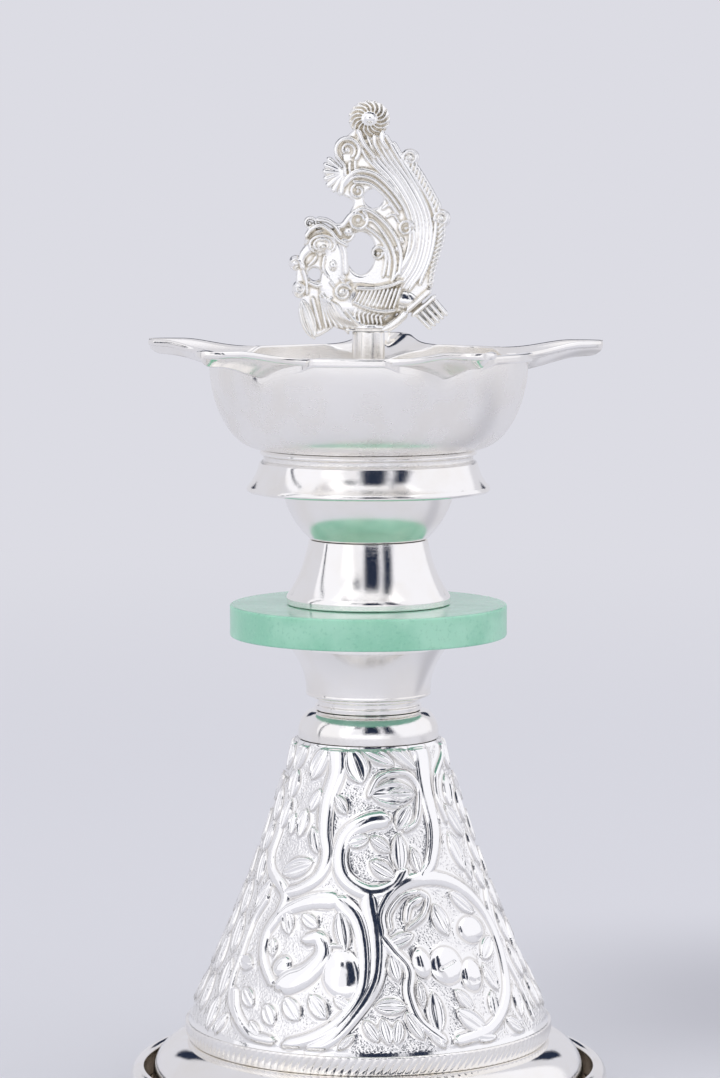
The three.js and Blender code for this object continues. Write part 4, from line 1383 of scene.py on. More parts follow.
    @staticmethod
    def _folded(values: Array, half: int, spare: int) -> Array:
        """Front half of a field drawn a little wider than it, its spare edges laid over the other side.

        Args:
            values: The field, with a column for each step round the axis.
            half: Columns of the front half.
            spare: Columns beyond each of its edges.

        Returns:
            The columns of the front half.
        """
        front = values[:, spare : spare + half].copy()
        front[:, :spare] = np.maximum(front[:, :spare], values[:, spare + half :])
        front[:, -spare:] = np.maximum(front[:, -spare:], values[:, :spare])
        return front

    @staticmethod
    def _normals(points: Array) -> Array:
        """Normals of a grid that closes round the axis: the cross product of its two slopes.

        Args:
            points: Rows of points from foot to top.

        Returns:
            A unit vector for each point.
        """
        round_slope = np.roll(points, -1, 1) - np.roll(points, 1, 1)
        up_slope = np.gradient(points, axis=0)
        normal = np.cross(round_slope, up_slope)
        return normal / np.linalg.norm(normal, axis=-1, keepdims=True)

    def _sector(
        self, name: str, outer: Array, normals: Array, ground: Array, recess_shade: Array
    ) -> bpy.types.Object:
        """One closed stretch of the sheet, its inner wall a few plain rows.

        Args:
            name: The piece's name.
            outer: Points of the outer face, by row and column.
            normals: Their normals.
            ground: 1 on the ground and 0 on forms.
            recess_shade: 1 in the narrow hollow round the forms, where shade is painted.

        Returns:
            The new object.
        """
        rows, columns = outer.shape[:2]
        levels = np.linspace(rows - 1, 0, self.wall_rows).astype(int)
        flank = self.flank()[levels]
        inward = outer[levels].copy()
        reach = np.hypot(inward[..., 0], inward[..., 1])
        inward[..., :2] *= ((flank[:, :1] - self.wall) / reach)[..., None]
        inward[..., 2] = flank[:, 1:]
        points = np.concatenate((outer, inward)).reshape(-1, 3)
        ring = rows + len(levels)
        faces = grid_faces(ring, columns, True, False)
        first = (np.arange(ring) * columns).tolist()
        last = (np.arange(ring) * columns + columns - 1).tolist()
        piece = make_piece(name, points, faces, [first, last[::-1]])
        every = np.concatenate((normals, -normals[levels])).reshape(-1, 3)
        piece.data.normals_split_custom_set_from_vertices(every.tolist())
        blank = np.zeros((len(levels), columns))
        paint(piece, "ground", np.concatenate((ground, blank)))
        paint(piece, "recess_shade", np.concatenate((recess_shade, blank)))
        return piece


@dataclass
class Neck:
    """Collar with its spigot, step ring and neck cup below the stone."""

    collar_upright: float = 1.3
    collar_top: float = 13.6
    spigot_depth: float = 3.0
    spigot_radius: float = 16.8
    cup_lower: float = 15.6
    cup_brim: float = 2.7

    def collar(self) -> bpy.types.Object:
        """The collar: a quarter ellipse above a short upright edge, and a spigot in the cone's mouth.

        Returns:
            The piece, in its place.
        """
        seat = Seat.of("collar")
        foot = seat.foot + self.spigot_depth
        shoulder = foot + self.collar_upright
        top = self.collar_top
        rows = rounded(
            (BORE, seat.foot, 0.1),
            (self.spigot_radius, seat.foot, 0.3),
            (self.spigot_radius, foot, 0.1),
            (seat.radius, foot, 0.35),
            arc((top, shoulder), (seat.radius - top, seat.top - shoulder), 4, 90, 24),
            (BORE, seat.top, 0.1),
        )
        return turned_piece("rounded_collar", rows, ROUND)

    def step(self) -> bpy.types.Object:
        """The step ring: a short cylinder between two fine beads, each a rounded step in radius.

        Returns:
            The piece, in its place.
        """
        seat = Seat.of("step_ring")
        rows = rounded(
            (BORE, seat.foot, 0.1),
            (seat.radius, seat.foot, 0.35),
            (seat.radius, seat.foot + 1.2, 0.2),
            (seat.radius - 0.45, seat.foot + 1.5, 0.2),
            (seat.radius - 0.45, seat.top - 0.9, 0.2),
            (seat.radius, seat.top - 0.6, 0.2),
            (seat.radius, seat.top, 0.2),
            (BORE, seat.top, 0.1),
        )
        return turned_piece("step_bead", rows, ROUND)

    def cup(self) -> bpy.types.Object:
        """The cup: a bend from its upright waist out to the brim that carries the stone.

        Returns:
            The piece, in its place.
        """
        seat = Seat.of("neck_cup")
        flare = bend(
            (self.cup_lower, seat.foot + 1.6),
            (self.cup_lower, (seat.foot + seat.top) / 2 - 0.8),
            (seat.radius - 0.25, seat.top - self.cup_brim),
            40,
        )
        rows = rounded(
            (BORE, seat.foot, 0.1),
            (self.cup_lower - 0.5, seat.foot, 0.25),
            (self.cup_lower + 0.1, seat.foot + 0.5, 0.3),
            (self.cup_lower, seat.foot + 1.1, 0.1),
            flare,
            (seat.radius, seat.top - self.cup_brim + 0.3, 0.15),
            (seat.radius, seat.top, 0.3),
            (RECESS_RADIUS, seat.top, 0.1),
            (RECESS_RADIUS, seat.top - RECESS_DEPTH, 0.05),
            (BORE, seat.top - RECESS_DEPTH, 0.05),
        )
        return turned_piece("flared_neck_cup", rows, ROUND)

    def build(self, finishes: Finishes) -> None:
        """Makes and dresses the three pieces.

        Args:
            finishes: The object's finishes.
        """
        plate(self.collar(), finishes.silver, "collar")
        plate(self.step(), finishes.silver, "step_ring")
        plate(self.cup(), finishes.silver, "neck_cup")


@dataclass
class StoneDisc:
    """Green stone disc between the cup and the spacer."""

    bore: float = 5.0
    edge_round: float = 0.55

    def disc(self) -> bpy.types.Object:
        """The disc: a rounded rectangle turned about the axis, its edge duller than its polished faces.

        Returns:
            The piece, in its place.
        """
        seat = Seat.of("stone_disc")
        rows = rounded(
            (self.bore, seat.foot, 0.2),
            (seat.radius, seat.foot, self.edge_round),
            (seat.radius, seat.top, self.edge_round),
            (self.bore, seat.top, 0.2),
        )
        piece = turned_piece("green_stone_disc", rows, ROUND)
        edge = smooth(rows[:, 0], seat.radius - self.edge_round, seat.radius - 0.02)
        paint(piece, "edge", np.repeat(edge, ROUND))
        return piece

    def build(self, finishes: Finishes) -> None:
        """Makes and dresses the disc."""
        dress(self.disc(), finishes.stone, "stand", "green_stone", "stone_disc")


@dataclass
class UpperStem:
    """Spacer on the stone and the lower bowl on it."""

    band_height: float = 2.3
    spacer_top: float = 14.9
    sphere: float = 21.9
    seat_radius: float = 14.5
    bowl_satin: float = 0.6

    def spacer(self) -> bpy.types.Object:
        """The spacer: a short upright band, then a bend drawn in towards the bowl.

        Returns:
            The piece, in its place.
        """
        seat = Seat.of("spacer")
        shoulder = seat.foot + self.band_height
        pull = ((seat.radius + 2 * self.spacer_top) / 3, (2 * shoulder + seat.top) / 3)
        rows = rounded(
            (RECESS_RADIUS, seat.foot, 0.05),
            (seat.radius, seat.foot, 0.3),
            (seat.radius, shoulder - 0.5, 0.4),
            bend((seat.radius - 0.35, shoulder + 0.2), pull, (self.spacer_top, seat.top - 0.5), 40),
            (self.spacer_top - 0.1, seat.top, 0.25),
            (BORE, seat.top, 0.1),
            (BORE, seat.foot + RECESS_DEPTH, 0.05),
            (RECESS_RADIUS, seat.foot + RECESS_DEPTH, 0.05),
        )
        return turned_piece("waisted_spacer", rows, ROUND)

    def bowl(self) -> bpy.types.Object:
        """The lower bowl: a slice of a sphere.

        Returns:
            The piece, in its place.
        """
        seat = Seat.of("lower_bowl")
        sink = math.sqrt(self.sphere**2 - self.seat_radius**2)
        centre = seat.foot + sink
        low = -math.degrees(math.asin(sink / self.sphere))
        high = math.degrees(math.asin((seat.top - centre) / self.sphere))
        rows = rounded(
            (BORE, seat.foot, 0.1),
            arc((0, centre), (self.sphere, self.sphere), low, high, 64),
            (BORE, seat.top, 0.1),
        )
        return turned_piece("lower_bowl_ball", rows, ROUND)

    def build(self, finishes: Finishes) -> None:
        """Makes and dresses the two pieces.

        Args:
            finishes: The object's finishes.
        """
        plate(self.spacer(), finishes.silver, "spacer")
        bowl = self.bowl()
        paint(bowl, "satin", np.full(len(bowl.data.vertices), self.bowl_satin))
        plate(bowl, finishes.silver, "lower_bowl")


@dataclass
class WickSpouts:
    """Five petal-shaped wick spouts, soldered by hand and so not quite evenly spaced."""

    azimuths: tuple[float, ...] = (12.6, 84.6, 157.0, 229.0, 297.0)
    dish_radius: float = 39.6
    tip_radius: float = 60.4
    root_half: float = 15.6
    nose_half: float = 3.6
    fillet: float = 4.5
    root_depth: float = 5.2
    nose_depth: float = 3.7
    rise: float = 2.1
    lip: float = 1.7
    lip_width: float = 1.5
    wall: float = 1.1
    trough_drop: float = 0.25
    keel_power: float = 1.9
    trough_power: float = 1.3
    nose_start: float = 0.84
    overlap: float = 0.7
    least_start: float = 30.0
    solder_reach: float = 4.5
    sections: int = 72
    crowding: float = 1.7
    keel_points: int = 29
    lip_points: int = 9
    lip_sweep: float = 75.0
    trough_points: int = 25

    def sizes(self, share: Array) -> dict[str, Array]:
        """Half width, depth, rise and nose factor at shares of the spout's length.

        The half width falls in a straight line plus a flare that dies out as the eighth power, and the nose
        is a quarter circle over the last stretch.

        Args:
            share: Shares of the length, from the dish to the tip.

        Returns:
            The four sizes by name.
        """
        past = np.clip((share - self.nose_start) / (1 - self.nose_start), 0, 1)
        nose = np.sqrt(1 - past**2)
        left = 1 - share
        taper = self.root_half - self.nose_half - self.fillet
        half = nose * (self.nose_half + taper * left + self.fillet * left**8)
        depth = self.lip + nose * (self.root_depth + (self.nose_depth - self.root_depth) * share - self.lip)
        return {"nose": nose, "half": half, "depth": depth, "rise": self.rise * smooth(share, 0, 0.7)}

    def surface(self) -> tuple[Array, Array, list]:
        """Points and faces of one spout along +X.

        Across the spout, a keel line joins two half-round lips, and a trough line comes back inside it. With
        t the share of the way from the middle to the edge, the keel's depth goes with a power of 1 - t, and
        the trough's with 1 less a power of t. Along the spout, each section stands at its share of the way
        from the dish's wall to the tip, and the sections crowd towards the tip.

        Returns:
            The points, the faces, and the face that closes the end at the dish.
        """
        share = 1 - (1 - np.linspace(0, 1, self.sections)) ** self.crowding
        size = self.sizes(share)
        half, depth, nose = (size[k][:, None] for k in ("half", "depth", "nose"))
        lip_half = np.minimum(self.lip_width / 2, half / 2.4)
        t = np.linspace(-1, 1, self.keel_points)[None, :]
        keel = -self.lip - (depth - self.lip) * (1 - np.abs(t)) ** self.keel_power
        under = np.stack((t * (half - lip_half), keel), axis=-1)
        angle = np.radians(np.linspace(-self.lip_sweep, self.lip_sweep, self.lip_points))[None, :]
        lip_y = half - lip_half + lip_half * np.cos(angle)
        lip_z = -self.lip / 2 + self.lip / 2 * np.sin(angle)
        right = np.stack((lip_y, lip_z + 0 * half), axis=-1)
        inner = half - 2 * lip_half
        back = np.linspace(1, -1, self.trough_points)[None, :]
        drop = nose * (depth - self.wall - self.trough_drop) * (1 - np.abs(back) ** self.trough_power)
        trough = np.stack((back * inner, -self.trough_drop - drop), axis=-1)
        left = right[:, ::-1] * np.array([-1, 1])
        section = np.concatenate((under, right, trough, left), axis=1)
        y = section[..., 0]
        start = np.sqrt(np.clip((self.dish_radius - self.overlap) ** 2 - y**2, self.least_start**2, None))
        x = start + share[:, None] * (self.tip_radius - start)
        z = section[..., 1] + size["rise"][:, None]
        points = np.stack((x, y, z), axis=-1)
        rows, columns = points.shape[:2]
        faces = grid_faces(rows, columns, False, True)[:, ::-1]
        return points.reshape(-1, 3), faces, [list(range(columns))]

    def build(self, finishes: Finishes) -> None:
        """Makes the five spouts, turned to their places on the dish's rim.

        Args:
            finishes: The object's finishes.
        """
        plane = Seat.of("oil_dish").top
        base, faces, cap = self.surface()
        for number, azimuth in enumerate(self.azimuths, 1):
            a = math.radians(azimuth)
            spin = np.array([[math.cos(a), math.sin(a), 0], [-math.sin(a), math.cos(a), 0], [0, 0, 1]])
            piece = make_piece(f"petal_spout_{number}", base @ spin + [0, 0, plane], faces, cap)
            reach = np.hypot(base[:, 0], base[:, 1])
            near_root = smooth(reach, self.dish_radius + self.solder_reach, self.dish_radius + 1.0)
            paint(piece, "solder", near_root * (base[:, 2] < -self.lip))
            weld(piece, 2e-3)
            plate(piece, finishes.soldered, f"wick_spout_{number}")


@dataclass
class OilDish:
    """Foot ring and oil dish. The dish's wall dips where a spout sits in it."""

    foot_waist: float = 26.1
    foot_bead: float = 1.1
    foot_web: float = 3.9
    foot_wall: float = 1.4
    radius: float = 39.6
    floor_radius: float = 26.7
    round_height: float = 22.0
    wall: float = 1.3
    floor: float = 1.6
    lip: float = 2.1
    lip_reach: float = 1.6
    dip_height: float = 12.0
    dip_inset: float = 0.6
    dip_edge: float = 0.4
    dip_fade: float = 4.8
    facets: int = 640

    def foot(self) -> bpy.types.Object:
        """The foot: a bend from its flared rim in to a waist between two beads, hollow below the web.

        Returns:
            The piece, in its place.
        """
        seat = Seat.of("dish_foot")
        bead = self.foot_bead
        waist = self.foot_waist
        rows = rounded(
            (seat.radius - 0.7, seat.foot, 0.3),
            (seat.radius, seat.foot + 0.6, 0.35),
            bend(
                (seat.radius - 0.35, seat.foot + 1.4),
                (waist + 1.9, (seat.foot + seat.top - 3 * bead) / 2),
                (waist + bead + 0.1, seat.top - 3.3 * bead),
                24,
            ),
            (waist + bead, seat.top - 3 * bead, 0.4),
            (waist, seat.top - 2.4 * bead, 0.35),
            (waist, seat.top - 1.5 * bead, 0.35),
            (waist + bead, seat.top - bead, 0.4),
            (waist + 0.6 * bead, seat.top, 0.4),
            (BORE, seat.top, 0.1),
            (BORE, seat.top - self.foot_web, 0.1),
            (waist - self.foot_wall, seat.top - self.foot_web, 0.3),
            (seat.radius - 0.7 - self.foot_wall, seat.foot, 0.2),
        )
        piece = turned_piece("flared_dish_foot", rows, ROUND)
        soldered = smooth(np.abs(rows[:, 1] - (seat.top - 2 * bead)), 1.3, 0.4) * (rows[:, 0] > waist - 0.5)
        paint(piece, "solder", np.repeat(0.7 * soldered, ROUND))
        return piece

    def dish(self, spouts: WickSpouts) -> bpy.types.Object:
        """The dish: flat floor, round wall, outward lip, and a dip in the wall for each spout.

        The dip follows the middle of the spout's wall: its depth is the keel line's at that distance across
        the spout, less the dip's inset. It fades out at the spout's edges and down the upper part of the
        wall, and where it is, the outward lip gives way to the spout's own.

        Args:
            spouts: The spouts that the wall dips under.

        Returns:
            The piece, in its place.
        """
        seat = Seat.of("oil_dish")
        shoulder = seat.foot + self.round_height
        curl = (self.floor_radius, shoulder)
        run = self.radius - self.floor_radius
        reach = self.radius + self.lip_reach
        rows = rounded(
            (BORE, seat.foot, 0.1),
            arc(curl, (run, self.round_height), -90, 0, 44),
            (self.radius, seat.top - self.lip, 0.25),
            (reach, seat.top - self.lip, 0.6),
            (reach, seat.top, 0.6),
            (self.radius - self.wall, seat.top, 0.45),
            arc(curl, (run - self.wall, self.round_height - self.floor), 0, -90, 36),
            (BORE, seat.foot + self.floor, 0.1),
        )
        angle = 2 * math.pi * np.arange(self.facets) / self.facets
        dip = np.zeros(self.facets)
        gap = np.zeros(self.facets)
        for azimuth in spouts.azimuths:
            side = self.radius * np.sin(angle - math.radians(azimuth))
            facing = np.cos(angle - math.radians(azimuth)) > 0
            root = spouts.root_half
            q = np.clip(np.abs(side) / (root - self.dip_inset), 0, 1)
            keel = spouts.lip + (spouts.root_depth - spouts.lip) * (1 - q) ** spouts.keel_power
            keel = keel - self.dip_inset
            fade = smooth(np.abs(side), root - self.dip_edge, root - self.dip_fade)
            dip = np.maximum(dip, facing * keel * fade)
            gap = np.maximum(gap, facing * fade)
        r, z = rows[:, 0, None], rows[:, 1, None]
        upper = smooth(z, seat.top - self.dip_height, seat.top - self.lip)
        outside = np.clip(r - self.radius, 0, None)
        points = around(r - outside * gap, z - dip * upper, angle).reshape(-1, 3)
        piece = make_piece("round_oil_dish", points, grid_faces(len(rows), self.facets, True, True))
        wall = smooth(rows[:, 1], seat.top - self.lip + 0.3, seat.top - self.lip - 0.2)
        paint(piece, "satin", np.repeat(wall, self.facets))
        return piece

    def build(self, finishes: Finishes, spouts: WickSpouts) -> None:
        """Makes and dresses foot and dish."""
        plate(self.foot(), finishes.soldered, "dish_foot")
        plate(self.dish(spouts), finishes.silver, "oil_dish")


def dress_hidden(finishes: Finishes) -> None:
    """Gives the hidden nodes, whose CAD shapes are right, their finishes.

    Args:
        finishes: The object's finishes.
    """
    for material, *nodes in (
        (finishes.rubber, "lower_gasket", "upper_gasket"),
        (finishes.nylon, "stone_bush"),
        (finishes.steel, "clamp_washer", "clamp_nut", "tie_rod"),
    ):
        for node in nodes:
            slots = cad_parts[node].data.materials
            slots.clear()
            slots.append(material)


@dataclass
class Finial:
    """Post and peacock casting. The casting is a relief, the same on both sides of its middle plane."""

    step: float = 0.156
    rim_half: float = 0.45
    web: float = 1.35
    foot_radius: float = 4.75
    foot_height: float = 1.8
    foot_gap: float = 0.12
    fullness: float = 3.4
    plumes: int = 7
    flutes: int = 16
    twist: float = 1.25
    body_centre: Pair = (-2.6, 6.1)
    body_half: Pair = (9.9, 6.2)
    hollow_reach: int = 5
    breast_feathers: int = 9
    wing_feathers: int = 11
    low_feathers: int = 7
    fan_feathers: int = 5
    drawn_x: Pair = (-20.6, 20.8)
    drawn_h: Pair = (-3.0, 58.0)
    least_slope: float = 0.3

    def post(self) -> bpy.types.Object:
        """The round post: a cylinder with rounded edges, bored from below for the rod.

        Returns:
            The piece, in its place.
        """
        seat = Seat.of("finial_post")
        rod = Seat.of("tie_rod")
        bore_top = rod.top + 1.2
        rows = rounded(
            (0.02, bore_top, 0),
            (BORE, bore_top, 0.2),
            (BORE, seat.foot, 0.2),
            (seat.radius, seat.foot, 0.3),
            (seat.radius, seat.top, 0.35),
            (0.02, seat.top, 0),
        )
        return turned_piece("round_post", rows, 96)

    def draw(self, relief: Relief) -> None:
        """Draws the peacock in its plane: x from the axis, height over the post's top.

        Args:
            relief: Relief that is drawn on.
        """
        self._tail_plate(relief)
        self._plumes(relief)
        self._tail_scrolls(relief)
        self._edging(relief)
        self._crown(relief)
        self._eye_and_shell(relief)
        self._neck_and_head(relief)
        self._bead_chain(relief)
        self._body(relief)
        self._wing(relief)
        self._short_tail(relief)
        on_post = (np.abs(relief.x) < self.foot_radius) & (relief.y < self.foot_gap)
        relief.inside[on_post] = np.minimum(relief.inside[on_post], relief.y[on_post] - self.foot_gap)

    def _tail_plate(self, relief: Relief) -> None:
        """The flat plate under the plumes, open at the tail's eye and between neck and tail.

        Args:
            relief: Relief that is drawn on.
        """
        back = [(2.5, 51), (7, 45), (11, 40.6), (16.6, 31.4), (17.6, 26), (16.2, 17.5), (14.6, 10)]
        foot = [(9, 5), (0, 4)]
        breast = [(-8, 6), (-8.6, 15), (-9, 24), (-5.4, 26.6), (-4.6, 29.4)]
        front = [(-3.9, 32), (-7.4, 34.6), (-6.4, 40), (-6.6, 46), (-3, 50)]
        holes = [(1.3, 32.8, 2.3, 2.3), (-1.9, 19.3, 3.5, 5.2)]
        relief.area(back + foot + breast + front, self.web, holes)

    def _plumes(self, relief: Relief) -> None:
        """Plumes, each a share of the way between two bounding curves, and the three-strand hood.

        Args:
            relief: Relief that is drawn on.
        """
        height = [48.4, 43.4, 36.4, 29.2, 22.6, 15.6, 10.2]
        outer = np.column_stack(([4.2, 7.2, 11.6, 14.9, 15.4, 13.6, 10], height))
        height = [48.0, 43.0, 37.2, 31.0, 24.6, 17.6, 11.2]
        inner = np.column_stack(([-2.6, -0.6, 5.0, 8.9, 10.3, 9.0, 5.2], height))
        for k in range(self.plumes):
            share = k / (self.plumes - 1)
            crest = 0.9 if k % 3 else 1.2
            relief.stroke((1 - share) * outer + share * inner, (0.56, 0.5), crest, base=self.web - 0.35)
        hood = [(-6.8, 34.0), (-6.0, 37.0), (-2.8, 39.6), (1.4, 39.0), (5.2, 35.8), (8.5, 31.4), (10, 27.6)]
        relief.stroke(hood, (0.75, 0.6), 1.7, base=self.web - 0.3)
        for strip, inwards, down, half, crest in (
            (hood[1:-1], 0.5, 1.35, 0.62, 1.4),
            (hood[2:-1], 1.0, 2.6, 0.55, 1.1),
        ):
            path = [(x - inwards, h - down) for x, h in strip]
            relief.stroke(path, (half, 0.5), crest, base=self.web - 0.3)

    def _tail_scrolls(self, relief: Relief) -> None:
        """Volutes inside the tail with the strands that run down from them.

        Args:
            relief: Relief that is drawn on.
        """
        base = self.web - 0.3
        relief.volute((-2.6, 27.5), 2.5, 60, -1.15, 0.55, 1.3, base, 0.95)
        relief.ridges(
            (0.6, 0.6, 1.3, base, (-3.9, 29.3), (-1.4, 30.3), (1.4, 29.1), (4.6, 26.2))
            + ((7, 22.6), (8, 18.6), (7.6, 14)),
            (0.55, 0.55, 1.2, base, (-1.2, 27.6), (1.2, 27.2), (3.8, 24.2), (5.8, 20.6))
            + ((6.6, 16.6), (5.8, 12)),
            (0.5, 0.5, 1.0, base, (-0.8, 25.8), (1.6, 24.2), (3.8, 21.8), (5.2, 18), (4.8, 13.6)),
        )
        relief.volute((2.4, 19.3), 1.7, 20, 1.0, 0.5, 1.2, base, 0.7)
        relief.stroke([(3.9, 20.2), (4.3, 17.4), (3.6, 13.4)], (0.5, 0.4), 1.1, base=base)
        relief.volute((9.2, 25.5), 1.9, 10, 1.0, 0.5, 1.3, base, 0.7)
        relief.stroke([(11.1, 25.2), (11.2, 21.6), (9.6, 17.6), (6.6, 13.6)], (0.5, 0.5), 1.2, base=base)
        relief.volute((-2.7, 34.6), 1.7, 110, 1.0, 0.5, 1.2, base, 0.7)
        relief.ridges(
            (0.5, 0.4, 1.0, base, (3.4, 30.2), (5.2, 31.2), (7.0, 29.0)),
            (0.45, 0.4, 0.9, base, (4.4, 28.2), (6.2, 28.8), (7.6, 26.8)),
        )
        relief.lump((8.2, 22.6), (0.9, 1.5), 2.2, 20)
        relief.lump((7.0, 20.3), (0.7, 1.2), 2.0, 10)

    def _edging(self, relief: Relief) -> None:
        """Twisted edging down the back of the tail, with its two bosses.

        Args:
            relief: Relief that is drawn on.
        """
        base = self.web - 0.5
        upper = [(9.4, 43), (12.4, 38.8), (15, 34.4), (17.4, 30)]
        lower = [(18.0, 26.6), (17.9, 23), (16.8, 18.6), (15.8, 15), (15.3, 11)]
        relief.stroke(upper, (1.15, 1.2), 1.5, Marks.ROPE, self.twist, base)
        relief.stroke(lower, (1.15, 0.8), 1.5, Marks.ROPE, self.twist, base)
        inner = [(6.2, 46.6), (8.8, 42.2), (12, 37.4), (15.6, 31.2), (16.6, 26), (15.4, 18.6), (12.6, 11.6)]
        relief.stroke(inner, (0.55, 0.55), 1.3, base=base)
        for x, h in ((10.3, 42.8), (18.0, 27.9)):
            relief.lump((x, h), (2.3, 2.3), 2.2)
            relief.volute((x, h), 1.85, 200, -0.95, 0.42, 0.9, 1.6, 1.0)

    def _crown(self, relief: Relief) -> None:
        """The fluted disc on the tail, its grooves winding out from a ball, and its three stems.

        Args:
            relief: Relief that is drawn on.
        """
        centre = (0.2, 52.4)
        relief.lump(centre, (5.1, 4.55), 2.7)
        for k in range(self.flutes):
            a = 2 * math.pi * k / self.flutes
            path = [
                (centre[0] + reach * math.cos(a + lag), centre[1] + 0.9 * reach * math.sin(a + lag))
                for reach, lag in ((2.3, 0.0), (3.6, 0.2), (5.3, 0.6))
            ]
            relief.groove(path, 0.42, 1.6)
        relief.lump(centre, (1.95, 1.8), 3.5)
        relief.ridges(
            (0.8, 0.5, 1.7, 1.3, (-2.6, 49.6), (-1.2, 46.4), (1.6, 42.8)),
            (0.9, 0.5, 1.6, 1.3, (3.4, 49.2), (3.4, 47.0), (4.8, 45.0)),
            (0.6, 0.45, 1.4, 1.3, (1.4, 48.4), (1.6, 46.0), (3.0, 43.6)),
        )

    def _eye_and_shell(self, relief: Relief) -> None:
        """The eye of the tail in its ring, three stems under it, and the ribbed shell beside them.

        Args:
            relief: Relief that is drawn on.
        """
        eye = (-5.2, 44.6)
        relief.lump(eye, (3.5, 3.6), 1.35)
        angle = np.radians(np.linspace(232, -50, 16))
        ring = np.column_stack((eye[0] + 2.95 * np.cos(angle), eye[1] + 2.95 * np.sin(angle)))
        relief.stroke(ring, (0.5, 0.6), 1.5, base=1.15)
        relief.volute((eye[0], eye[1] + 0.1), 1.95, -60, 0.8, 0.42, 0.9, 1.25, 1.05)
        relief.ridges(
            (0.55, 0.5, 1.7, 1.1, (-7.1, 42.2), (-6.0, 40.8), (-5.7, 38.4)),
            (0.5, 0.4, 1.5, 1.1, (-4.6, 41.8), (-4.7, 40.2), (-4.4, 38.6)),
            (0.5, 0.4, 1.3, 1.1, (-3.3, 42.2), (-3.3, 40.4), (-3.0, 39.0)),
        )
        tips_x = (-9.7, -10.5, -10.7, -10.5, -9.9, -8.6, -7.1)
        tips_h = (42.3, 41.0, 39.4, 37.7, 36.1, 34.9, 34.1)
        for tip in zip(tips_x, tips_h):
            relief.stroke([(-5.9, 39.3), tip], (0.34, 0.9), 1.5, base=0.8, ends=0.85)

    def _neck_and_head(self, relief: Relief) -> None:
        """Neck, head with its ringed eye, beak, crest and the ridge that joins it to the tail.

        Args:
            relief: Relief that is drawn on.
        """
        beak = [(-9, 25.6), (-13.5, 25), (-15.6, 21.5), (-17.4, 17.5)]
        chain = [(-18.0, 12), (-16.8, 8), (-16.2, 4), (-14.8, 0), (-13.6, -1.5)]
        breast = [(-11, -0.6), (-8, 2), (-6, 8), (-5.2, 14), (-5.3, 20), (-6.4, 24.4)]
        relief.area(beak + chain + breast, 1.5, [(-13.3, 14.1, 1.5, 1.5)])
        relief.ridges(
            (2.3, 4.0, 2.0, 0.9, (-9.2, 22.6), (-8.4, 18.4), (-8.8, 13), (-9.0, 8)),
            (0.7, 0.7, 1.6, 1.2, (-7.0, 22.0), (-5.9, 19.6), (-5.6, 14.2)),
        )
        relief.lump((-11.6, 21.6), (4.3, 3.7), 2.7)
        angle = np.radians(np.linspace(-40, 230, 12))
        for reach in (1.0, 0.66):
            rim = (-11.4 + 3.1 * reach * np.cos(angle), 21.4 + 2.3 * reach * np.sin(angle))
            relief.stroke(np.column_stack(rim), (0.36, 0.36), 0.8, base=2.6)
        relief.lump((-11.2, 20.9), (1.1, 0.75), 3.7)
        relief.ridges(
            (1.5, 0.7, 2.0, 0.9, (-13.6, 21.0), (-15.6, 19.6), (-16.6, 17.6), (-16.0, 15.6)),
            (0.6, 0.4, 1.6, 1.1, (-12.9, 18.6), (-13.6, 17.4), (-15.0, 16.2)),
        )
        relief.volute((-14.5, 26.7), 1.5, -30, 1.1, 0.5, 1.3, 1.0, 0.6)
        crest = [(-15.6, 23.4), (-14.2, 25.2), (-11.8, 26.2), (-9.4, 24.8), (-7.6, 22.6), (-5.2, 21.2)]
        relief.stroke(crest, (0.6, 0.7), 1.9, base=1.2)
        relief.ridges(
            (0.7, 0.6, 1.6, 1.0, (-12.8, 27.7), (-10.4, 27.4), (-8.2, 26.0), (-6.8, 23.8)),
            (0.8, 0.7, 1.5, 1.0, (-8.2, 26.0), (-6.4, 26.2), (-4.8, 28.2), (-3.6, 29.2)),
        )
        relief.lump((-5.0, 24.6), (1.6, 1.5), 2.8)
        relief.stroke([(-6.6, 22.7), (-4.6, 22.6), (-3.4, 24.2)], (0.5, 0.5), 1.4, base=1.0)
        relief.lump((-8.8, 16.3), (1.5, 2.1), 3.8, 10)
        for x, h in ((-11.6, 9.6), (-9.6, 12.6), (-7.2, 13.6)):
            relief.stroke([(x, h), (x + 1.2, h - 1.6), (x + 2.6, h - 1.4)], (0.5, 0.4), 0.7, base=2.5)
        relief.stroke([(-10.9, 18.6), (-11.2, 15.6), (-9.6, 13.2)], (0.45, 0.45), 1.2, base=1.8)

    def _bead_chain(self, relief: Relief) -> None:
        """The chain of buds that hangs from the beak to a leaf tip under the breast.

        Args:
            relief: Relief that is drawn on.
        """
        relief.lump((-18.0, 16.9), (1.75, 1.95), 2.7)
        relief.ridges(
            (0.32, 0.32, 0.7, 2.3, (-19.1, 17.4), (-18.0, 17.9), (-16.8, 17.0), (-16.6, 15.6)),
            (0.6, 0.5, 1.6, 0.9, (-16.2, 15.4), (-15.4, 12.4), (-15.2, 9.2)),
        )
        relief.lump((-17.0, 10.4), (2.0, 2.2), 2.9)
        relief.volute((-17.0, 10.4), 1.25, 90, -0.9, 0.36, 0.6, 2.6, 0.55)
        relief.stroke([(-14.8, 12.2), (-12.6, 11.4), (-10.4, 12.0)], (0.7, 0.9), 1.5, base=1.1)
        relief.leaf((-16.6, 8.0), (-13.4, -2.0), 2.1, 2.5, 0.3)
        relief.stroke([(-13.9, 8.4), (-12.9, 4.6), (-11.8, 0.6)], (0.55, 0.5), 1.6, base=1.0)

